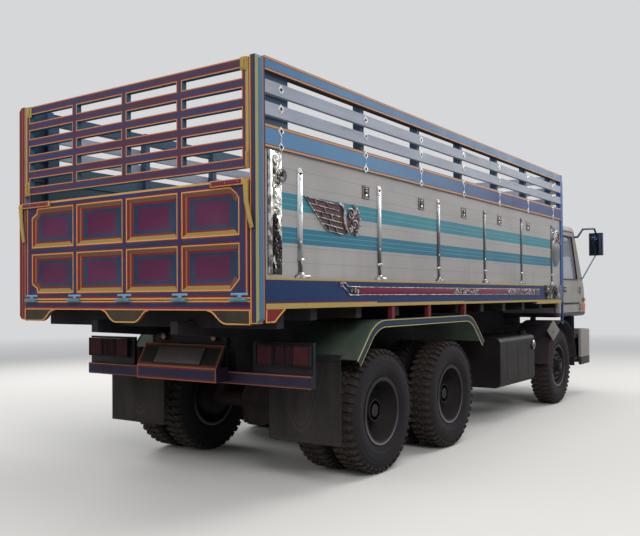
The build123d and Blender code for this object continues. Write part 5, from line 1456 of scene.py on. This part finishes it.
class BuildTyres(bpy.types.Operator):
    """Build the treaded tyres, single in front and twinned behind"""

    bl_idname = "truck.build_tyres"
    bl_label = "Tyres"

    def execute(self, context):
        sizes = context.scene.truck_sizes
        source = tyre_form(sizes.tread_depth, sizes.lugs)
        rest = {}
        for node in nodes:
            if not node.startswith("tyre"):
                continue
            low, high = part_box(node)
            middle = (low + high) / 2
            ys = [middle.y] if node.startswith("tyre_") else [low.y + 0.125, high.y - 0.125]
            key = round(middle.x, 3)
            if key not in rest:
                rest[key] = self.rubber(middle)
            form = Shape()
            for n, y in enumerate(ys):
                turn = Matrix.Rotation(0.07 * n, 4, "Y")
                form.take(source, Matrix.Translation((middle.x, y, middle.z)) @ turn)
            place_piece(
                form.made(node), node + "_treaded", rest[key], node_body(node), 40,
                (node,),
            )
        bpy.data.meshes.remove(source)
        return {"FINISHED"}

    def rubber(self, middle):
        """Dusty rubber about one axle: brown tread, darker walls, faint rings."""
        tyre = Finish(f"tyre rubber {round(middle.x, 1)}", gloss=0.15)
        radius = tyre.from_axle(middle.x, middle.z)
        patch = tyre.noise(5.0, 6.0)
        grain = tyre.noise(60.0, 4.0)
        wall = tyre.mix(patch.sharpen(0.3, 0.7), (23, 21, 25), (34, 31, 33))
        ring_mask = (radius.nearest(0.33, 0.045) < 0.002) * radius.within(0.3, 0.46)
        wall = tyre.mix(ring_mask * 0.5, wall, (56, 52, 52))
        tread = tyre.mix(patch.sharpen(0.35, 0.65), (44, 39, 38), (32, 30, 32))
        tread = tyre.mix((radius > 0.4965) * 0.6, tread, (42, 38, 38))
        colour = tyre.mix(((radius - 0.43) * 22.0).held(), wall, tread)
        mud = ((radius - 0.47) * 20.0 + patch - 0.75 + grain * 0.4).held() * 0.45
        tyre.set("Base Color", tyre.mix(mud, colour, (84, 68, 56)))
        tyre.set("Roughness", patch * 0.2 + 0.72)
        tyre.relief(grain + (radius.nearest(0.33, 0.045) * 40.0), 0.003, 0.5)
        return tyre.material


class DressWheels(bpy.types.Operator):
    """Finish the rims and add nuts, hub caps and valves"""

    bl_idname = "truck.dress_wheels"
    bl_label = "Wheels"

    def execute(self, context):
        nut = context.scene.truck_sizes.nut
        tools = finishes()
        for node in [n for n in nodes if n.startswith("wheel")]:
            low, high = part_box(node)
            x, z = (low.x + high.x) / 2, axle_height
            front = node.startswith("wheel_front")
            side = 1 if high.y > 0 else -1
            rim = Finish(f"rim paint {node}", gloss=0.2)
            # Painted highlight: a pale arc on the lower half of the rim's flange
            wear_and_highlight = rim.from_axle(x).within(0.258, 0.2752) * ((rim.z - z) * -4.0).held()
            base = rim.patches(6.0, 6.0, (0.35, 0.7), (20, 19, 23), (31, 28, 30))
            base = rim.mix(wear_and_highlight, base, (104, 102, 106))
            soften(node, rim.dress(base, 0.2, 1.1, 0.6, 0.002), 0.0015)

            face, hub, cap = (1.084, 1.150, 0.074) if front else (0.924, 1.110, 0.08)
            detail = Shape()

            def stub(place, start, end, radius, faces):
                """A short bar that stands out from the wheel."""
                px, pz = x + place[0], z + place[1]
                detail.rod((px, side * start, pz), (px, side * end, pz), radius, faces)

            for place in ring(10, 0.14):
                stub(place, face, face + 0.020, nut, 6)
                stub(place, face + 0.018, face + 0.034, nut * 0.55, 10)
            detail.lathe(
                ((-0.012, cap), (0.0, cap), (0.0, 0.052), (-0.004, 0.045), (-0.004, 0.0)),
                (x, side * hub, z), (0, side, 0), 40, closed=False,
            )
            for place in ring(8, 0.063, start=22.5):
                stub(place, hub - 0.004, hub, 0.007, 6)
            stub((0.215, 0), face, face + 0.05, 0.005, 8)
            detail.piece(node + "_nuts", tools["iron"], node_body(node), "wheel_paint")
        return {"FINISHED"}


class BuildCab(bpy.types.Operator):
    """Dress the cab shell and doors, with seals, handles, vents and glass"""

    bl_idname = "truck.build_cab"
    bl_label = "Cab"

    def execute(self, context):
        c = context.scene.truck_colours
        tools = finishes()
        shell = Finish("cab paint")
        z, out = shell.z, abs(shell.y)
        shade = shell.noise(2.5, 4.0)
        body = shell.mix(shade.sharpen(0.35, 0.7), c.cab, (127, 122, 118))
        body = shell.mix(z < 1.19, body, (56, 53, 52))
        # The lining: trim panels on the doors' and shell's inner faces
        body = shell.mix((out < 1.118) * z.within(1.19, 1.62) * (out > 1.09), body, (70, 68, 70))
        material = shell.dress(body, 0.3, 2.2, rough=0.42)
        soften("cab_shell", material, 0.006)
        for name, _ in sides:
            soften("door_" + name, material, 0.004)
        wing = Finish("front fender paint")
        skin = wing.patches(5.0, 5.0, (0.35, 0.7), (40, 38, 44), (52, 46, 46))
        lip = (wing.z < 0.99) * (wing.from_axle(front_axle) > 0.5945) * (abs(wing.y) > 1.166)
        skin = wing.mix(lip, skin, (96, 34, 40))
        soften("front_fenders", wing.dress(skin, 0.25, 1.3, 0.55), 0.003)
        glass = Finish("tinted glass", rough=0.04, gloss=0.5, Transmission_Weight=0.45, IOR=1.45)
        clouded = glass.patches(1.6, 3.0, (0.3, 0.7), (170, 176, 182), (156, 162, 168))
        glass.set("Base Color", clouded)
        for node in ("cab_glass", "door_glass_left", "door_glass_right"):
            repaint(node, glass.material)

        # Door window seals and handles
        rear, front = cab_low.x + 0.150, cab_high.x - 0.330
        top_front = cab_high.x - 0.560 - 0.070
        frame_width = 0.055
        low_z, high_z = 1.640, 2.280 - frame_width
        corners = (
            (rear + frame_width, low_z), (rear + frame_width, high_z),
            (top_front - frame_width * 1.3, high_z), (front - frame_width * 1.5 - 0.03, low_z),
        )
        for name, side in sides:
            door = Shape()
            door.chain([(x, side * 1.1505, z) for x, z in corners], 0.009, rows=5, closed=True)
            door.rod((rear + 0.035, side * 1.150, 1.44), (rear + 0.035, side * 1.157, 1.44), 0.012, 16)
            for x0, x1, y0, y1, z0, z1, bevel in (
                (rear + 0.045, rear + 0.215, 1.150, 1.156, 1.47, 1.535, 0.003),
                (rear + 0.062, rear + 0.198, 1.156, 1.171, 1.490, 1.514, 0.006),
                (rear + 0.02, front - 0.02, 1.150, 1.155, 1.30, 1.325, 0.002),
            ):
                door.block((x0, side * y0, z0), (x1, side * y1, z1), bevel)
            door.piece(f"door_trim_{name}", tools["black"], f"door_{name}", "box_black")
            grab = Shape()
            x, y, foot, head = cab_low.x + 0.075, side * 1.172, 1.50, 2.02
            grab.rod((x, y, foot), (x, y, head), 0.010, 12)
            for z0 in (foot, head):
                grab.rod((x, side * 1.145, z0), (x, y, z0), 0.010, 12).ball((x, y, z0), 0.010, rows=6)
            grab.piece(f"grab_rail_{name}", tools["chassis"], "truck", "step_steel")
            lamp = Shape()
            x = cab_high.x - 0.185
            lamp.block((x, side * 1.149, 1.335), (x + 0.085, side * 1.168, 1.385), 0.006, segments=3)
            amber = grooved(
                f"side marker {name}", 0, 0.008, 0.002, (168, 92, 44), (128, 64, 30), rough=0.25,
                coat=0.3,
            )
            lamp.piece(f"side_marker_{name}", amber, slot="lamp_red")

        # Rain gutter, roof ribs, rear vents and windscreen seal
        trim = Shape()
        for _, side in sides:
            trim.block(
                (cab_low.x + 0.08, side * 1.136, 2.292), (cab_high.x - 0.64, side * 1.156, 2.304),
                0.003,
            )
            for y in (0.62 + n * 0.06 for n in range(5)):
                trim.block(
                    (cab_low.x - 0.006, side * y, 1.32), (cab_low.x, side * (y + 0.03), 1.56), 0.002
                )
        for n in range(4):
            y = -0.66 + n * 0.44
            trim.block((cab_low.x + 0.16, y - 0.03, 2.3695), (cab_high.x - 0.72, y + 0.03, 2.377), 0.003)
        trim.piece("cab_trim", tools["cab"], slot="cab_white")
        rubber = Shape()
        behind, inside = cab_low.x - 0.008, cab_low.x + 0.004
        for _, side in sides:
            rubber.block((behind, side * 0.468, 1.742), (inside, side * 0.488, 2.208), 0.003)
        for z0 in (1.738, 2.196):
            rubber.block((behind, -0.488, z0), (inside, 0.488, z0 + 0.018), 0.003)
        top, foot = Vector((cab_high.x - 0.560, 0, 2.370)), Vector((cab_high.x - 0.060, 0, 1.540))
        slope = (foot - top).normalized()
        normal = Vector((-slope.z, 0, slope.x))

        def on_screen(y, z):
            share = (top.z - z) / (top.z - foot.z)
            return top + (foot - top) * share + Vector((0, y, 0)) + normal * 0.002

        low, high, half = 1.574, 2.266, 1.04
        for z0, z1, y0, y1 in (
            (low, low, -half, half), (high, high, -half, half), (low, high, -half, -half),
            (low, high, half, half),
        ):
            rubber.rod(on_screen(y0, z0), on_screen(y1, z1), 0.011, 8)
        # Wipers: a pivot, an arm and a blade
        for y0 in (-0.62, 0.16):
            pivot = on_screen(y0, 1.548) + normal * 0.018
            tip = on_screen(y0 + 0.62, 1.66) + normal * 0.016
            elbow = (pivot + tip) / 2 + normal * 0.004
            rubber.rod(on_screen(y0, 1.548), pivot, 0.016, 12)
            rubber.rod(pivot, elbow, 0.007, 8)
            rubber.rod(elbow - (tip - pivot) * 0.42, tip, 0.005, 8)
        rubber.piece("cab_seals", tools["black"], slot="box_black")
        return {"FINISHED"}


class DressCabFront(bpy.types.Operator):
    """Dress the grille, lamps, bumper and steps at the front of the cab"""

    bl_idname = "truck.dress_cab_front"
    bl_label = "Cab front"

    def execute(self, context):
        tools = finishes()
        soften("grille", tools["black"], 0.002)
        bumper = Finish("bumper paint")
        paint = bumper.mix(bumper.noise(3.0, 4.0), (136, 132, 128), (122, 118, 114))
        paint = bumper.mix(bumper.z < 0.56, paint, (40, 38, 40))
        soften("front_bumper", bumper.dress(paint, 0.35, 1.4, 0.45), 0.008)
        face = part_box("headlamps")[1].x
        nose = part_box("front_bumper")[1].x
        step_low, step_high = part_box("cab_steps")
        bowl, cover, rims, corner, tread = Shape(), Shape(), Shape(), Shape(), Shape()
        for _, side in sides:
            for y in (0.725, 0.87):
                bowl.lathe(
                    ((-0.018, 0.012), (-0.016, 0.035), (-0.008, 0.062), (-0.003, 0.066), (-0.003, 0.0)),
                    (face - 0.002, side * y, 0.775), (1, 0, 0), 32, closed=False,
                )
            cover.block((face - 0.006, side * 0.645, 0.696), (face, side * 0.955, 0.854), 0.002)
            rims.surround(
                (face - 0.004, side * 0.636, 0.686), (face + 0.004, side * 0.964, 0.864), 1, 0.008
            )
            corner.block(
                (cab_high.x - 0.20, side * 1.10, 1.21), (cab_high.x - 0.055, side * 1.156, 1.31), 0.012,
                segments=3,
            )
            for top in (0.56, 0.86):
                for y in (side * (1.0 + n * 0.022) for n in range(6)):
                    tread.block(
                        (step_low.x + 0.02, y - 0.004, top),
                        (step_high.x - 0.03, y + 0.004, top + 0.004), 0.001,
                    )
        bowl.piece("lamp_bowls", tools["chrome"], slot="strap_chrome")
        clear = grooved(
            "lamp cover", 1, 0.02, 0.003, (236, 238, 240), (214, 218, 222), rough=0.05, gloss=0.5,
            Transmission_Weight=0.9, IOR=1.3,
        )
        cover.piece("lamp_covers", clear, slot="lamp_clear", stands_for=("headlamps",))
        rims.piece("headlamp_rims", tools["chassis"], slot="strap_chrome")
        orange = grooved(
            "corner lamps", 2, 0.012, 0.003, (176, 98, 42), (136, 68, 28), rough=0.25, coat=0.3
        )
        corner.piece("corner_lamps", orange, slot="lamp_red")
        tread.piece("step_treads", tools["iron"], slot="step_steel")

        extra, holes = Shape(), Shape()
        extra.block((nose - 0.008, -0.26, 0.60), (nose - 0.0002, 0.26, 0.72), 0.002)
        extra.piece("front_bare_plate", tools["dull"], slot="bumper_paint")
        for z in (0.61 + n * 0.045 for n in range(4)):
            for y in (-0.56, 0.30):
                holes.block((nose - 0.02, y, z), (nose, y + 0.26, z + 0.022), 0.003)
        holes.piece("bumper_slots", tools["black"], slot="box_black")
        return {"FINISHED"}


class FurnishCab(bpy.types.Operator):
    """Furnish the cab: seats, dashboard and steering wheel"""

    bl_idname = "truck.furnish_cab"
    bl_label = "Cab inside"

    def execute(self, context):
        tools = finishes()
        low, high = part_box("seats")
        cloth = Finish("seat cloth")
        weave = cloth.noise(220.0, 2.0)
        stripe = cloth.y.nearest(0.56, 0.08) < 0.012
        colour = cloth.mix(weave, (52, 54, 62), (34, 36, 44))
        colour = cloth.mix(stripe * 0.5, colour, (92, 44, 48))
        cloth.set("Base Color", colour).set("Roughness", weave * 0.2 + 0.75)
        cloth.relief(weave, 0.002, 0.6)
        pedestal = Shape()
        for name, side in sides:
            y = side * 0.56
            pedestal.block((low.x + 0.06, y - 0.2, low.z), (high.x - 0.11, y + 0.2, 1.33), 0.01)
            for part, x0, x1, half, z0, z1 in (
                ("cushion", low.x + 0.10, high.x - 0.004, 0.245, 1.335, 1.505),
                ("back", low.x + 0.004, low.x + 0.118, 0.24, 1.47, 2.005),
            ):
                self.cushion(f"seat_{part}_{name}", (x0, y - half, z0), (x1, y + half, z1), cloth)
        pedestal.piece("seat_frames", tools["iron"], slot="seat_cloth", stands_for=("seats",))

        dash = Finish("dashboard plastic")
        moulding = dash.mix(dash.noise(3.0), (46, 45, 46), (58, 56, 55))
        soften("dashboard", dash.dress(moulding, 0.1, rough=0.6), 0.01)
        soften("steering_wheel", tools["black"], 0.002, 60)
        return {"FINISHED"}

    def cushion(self, name, low, high, cloth):
        """A crowned pad with sewn channels, pulled in between its corners."""
        low, high = Vector(low), Vector(high)
        middle, size = (low + high) / 2, high - low
        form = Shape()
        pad = form.mesh
        bmesh.ops.create_cube(pad, size=1)
        bmesh.ops.subdivide_edges(pad, edges=pad.edges, cuts=11, use_grid_fill=True)
        thin = min(range(3), key=lambda axis: size[axis])
        for vert in pad.verts:
            share = [v * 2 for v in vert.co]
            others = [share[a] for a in range(3) if a != thin]
            crown = (1 - others[0] ** 4) * (1 - others[1] ** 4)
            channel = 0.05 * (1 + math.cos(share[1] * math.pi * 3.0)) * crown
            depth = share[thin] * (0.72 + 0.24 * crown - channel * 0.6)
            pull = 1 - 0.05 * (1 - abs(share[thin])) * 0.5
            narrow = 0.97 if abs(share[thin]) > 0.9 else 1.0
            for axis in range(3):
                scale = depth if axis == thin else share[axis] * narrow * pull
                vert.co[axis] = middle[axis] + scale * size[axis] / 2
        bmesh.ops.bevel(
            pad, geom=[e for e in pad.edges if e.calc_face_angle(0) > 0.9], offset=0.02, segments=2,
            profile=0.5, affect="EDGES", material=-1, clamp_overlap=True,
        )
        obj = place_piece(form.made(name), name, cloth.material, "truck", 80)
        smooth = obj.modifiers.new("smooth", "SUBSURF")
        smooth.levels = smooth.render_levels = 1


class BuildMirrors(bpy.types.Operator):
    """Dress the mirror arms and build the mirror heads"""

    bl_idname = "truck.build_mirrors"
    bl_label = "Mirrors"

    def execute(self, context):
        tools = finishes()
        arm = Finish("mirror arm paint")
        tubes = arm.mix(arm.noise(9.0, 4.0), (50, 56, 72), (36, 42, 58))
        tubes = arm.mix(arm.z < 1.98, tubes, (72, 124, 140))
        soften("mirrors", arm.dress(tubes, 0.2), 0.012, 40)
        x = cab_high.x - 0.08
        glass_piece, rim = Shape(), Shape()
        for _, side in sides:
            y = side * 1.32
            glass_piece.block((x - 0.0295, y - 0.078, 2.005), (x - 0.0255, y + 0.078, 2.295), 0.001)
            rim.surround(
                (x - 0.034, y - 0.0925, 1.99), (x - 0.024, y + 0.0925, 2.31), 1, 0.0135, 0.014, 0.003
            )
        mirror = Finish("mirror glass", rough=0.03, metal=1.0)
        mirror.set("Base Color", mirror.mix(mirror.noise(4.0), (66, 76, 94), (56, 64, 82)))
        glass_piece.piece("mirror_glasses", mirror.material, slot="mirror_paint")
        rim.piece("mirror_rims", tools["black"], slot="mirror_paint")
        return {"FINISHED"}


class SetStage(bpy.types.Operator):
    """Set the pale floor, the soft lamps and the camera of the photograph"""

    bl_idname = "truck.set_stage"
    bl_label = "Stage"

    def execute(self, context):
        scene = context.scene
        scene.view_settings.view_transform = "Standard"
        pale = (214, 215, 217)

        # Floor: lit paper near the truck, which fades into the backdrop far away
        ground = Shape()
        bmesh.ops.create_grid(ground.mesh, x_segments=1, y_segments=1, size=60)
        floor = bpy.data.objects.new("studio_floor", ground.made("studio_floor"))
        scene.collection.objects.link(floor)
        paper = Finish("studio paper", rough=0.9)
        paper.set("Base Color", (206, 204, 200))
        shine = paper.add("ShaderNodeEmission", {}, {"Color": pale})
        seen = paper.add("ShaderNodeLightPath")
        seen = seen.most(paper.add("ShaderNodeLightPath", output="Is Glossy Ray"))
        seen = seen.most(paper.add("ShaderNodeLightPath", output="Is Transmission Ray"))
        distance = (paper.x * paper.x + paper.y * paper.y).math("SQRT")
        blend = paper.add(
            "ShaderNodeMixShader", {},
            {
                0: distance.sharpen(7.0, 22.0) * seen,
                1: Wire(paper, paper.shader.outputs["BSDF"]), 2: shine,
            },
        )
        paper.feed(paper.out.inputs["Surface"], blend)
        floor.data.materials.append(paper.material)

        world = bpy.data.worlds.new("studio")
        scene.world = world
        world.use_nodes = True
        tree = world.node_tree
        tree.nodes.clear()
        out, light, backdrop, blend, ray, seen, either = (
            tree.nodes.new("ShaderNode" + kind) for kind in (
                "OutputWorld", "Background", "Background", "MixShader", "LightPath", "Math", "Math",
            )
        )
        light.inputs["Color"].default_value = (*tint(236, 240, 246), 1)
        light.inputs["Strength"].default_value = 0.5
        backdrop.inputs["Color"].default_value = (*tint(*pale), 1)
        backdrop.inputs["Strength"].default_value = 1.0
        seen.operation = either.operation = "MAXIMUM"
        for start, end in (
            (ray.outputs["Is Camera Ray"], seen.inputs[0]),
            (ray.outputs["Is Transmission Ray"], seen.inputs[1]),
            (seen.outputs[0], either.inputs[0]), (ray.outputs["Is Glossy Ray"], either.inputs[1]),
            (either.outputs[0], blend.inputs[0]), (light.outputs[0], blend.inputs[1]),
            (backdrop.outputs[0], blend.inputs[2]), (blend.outputs[0], out.inputs["Surface"]),
        ):
            tree.links.new(start, end)

        for name, place, power, size in (
            ("key", (-9.5, -8.5, 8.0), 760, 5.0),
            ("fill", (-9.0, 3.5, 5.0), 200, 5.0),
            ("top", (0.0, -2.0, 10.0), 520, 7.0),
            ("front", (10.0, -5.0, 6.0), 480, 5.0),
            ("far", (2.0, 9.0, 6.0), 420, 5.0),
        ):
            lamp = bpy.data.lights.new(name, "AREA")
            lamp.energy, lamp.size, lamp.shape = power, size, "DISK"
            obj = bpy.data.objects.new(name, lamp)
            obj.location = place
            aim = Vector((0, 0, 1.2)) - Vector(place)
            obj.rotation_euler = aim.to_track_quat("-Z", "Y").to_euler()
            scene.collection.objects.link(obj)

        lens = bpy.data.cameras.new("photo_camera")
        camera = bpy.data.objects.new("photo_camera", lens)
        scene.collection.objects.link(camera)
        lens.sensor_width = 36.0
        lens.lens = 772.897 * 36.0 / 640
        lens.shift_y = 20.0 / 640
        lens.clip_start, lens.clip_end = 0.1, 300
        yaw, pitch, roll = (math.radians(v) for v in (34.472, 0.617, -0.366))
        level = math.cos(pitch)
        ahead = Vector((math.cos(yaw) * level, math.sin(yaw) * level, math.sin(pitch)))
        right = ahead.cross(Vector((0, 0, 1))).normalized()
        up = right.cross(ahead)
        across = right * math.cos(roll) + up * math.sin(roll)
        above = up * math.cos(roll) - right * math.sin(roll)
        turn = Matrix((across, above, -ahead)).transposed().to_4x4()
        camera.matrix_world = Matrix.Translation((along(-3.795), -4.316, 1.431)) @ turn
        scene.camera = camera
        return {"FINISHED"}


operators = (
    SetStage, PaintLoadBody, PaintRearGates, AddGateLatches, AddSideStraps, AddStuds,
    AddSideOrnaments, DressGuards, DressRearBar, DressUnderbody, BuildTyres, DressWheels, BuildCab,
    DressCabFront, FurnishCab, BuildMirrors,
)


class TruckPanel(bpy.types.Panel):
    """Buttons that build and paint the truck piece by piece"""

    bl_idname = "VIEW3D_PT_cargo_truck"
    bl_label = "Cargo truck"
    bl_space_type = "VIEW_3D"
    bl_region_type = "UI"
    bl_category = "Cargo Truck"

    def draw(self, context):
        for group in (context.scene.truck_colours, context.scene.truck_sizes):
            box = self.layout.box()
            for name in group.__annotations__:
                box.prop(group, name)
        for operator in operators:
            self.layout.operator(operator.bl_idname)


classes = (TruckColours, TruckSizes) + operators + (TruckPanel,)


def register():
    for item in classes:
        bpy.utils.register_class(item)
    bpy.types.Scene.truck_colours = PointerProperty(type=TruckColours)
    bpy.types.Scene.truck_sizes = PointerProperty(type=TruckSizes)


def unregister():
    del bpy.types.Scene.truck_sizes
    del bpy.types.Scene.truck_colours
    for item in reversed(classes):
        bpy.utils.unregister_class(item)


def main():
    register()
    for operator in operators:
        family, name = operator.bl_idname.split(".")
        getattr(getattr(bpy.ops, family), name)()


if __name__ == "__main__":
    main()
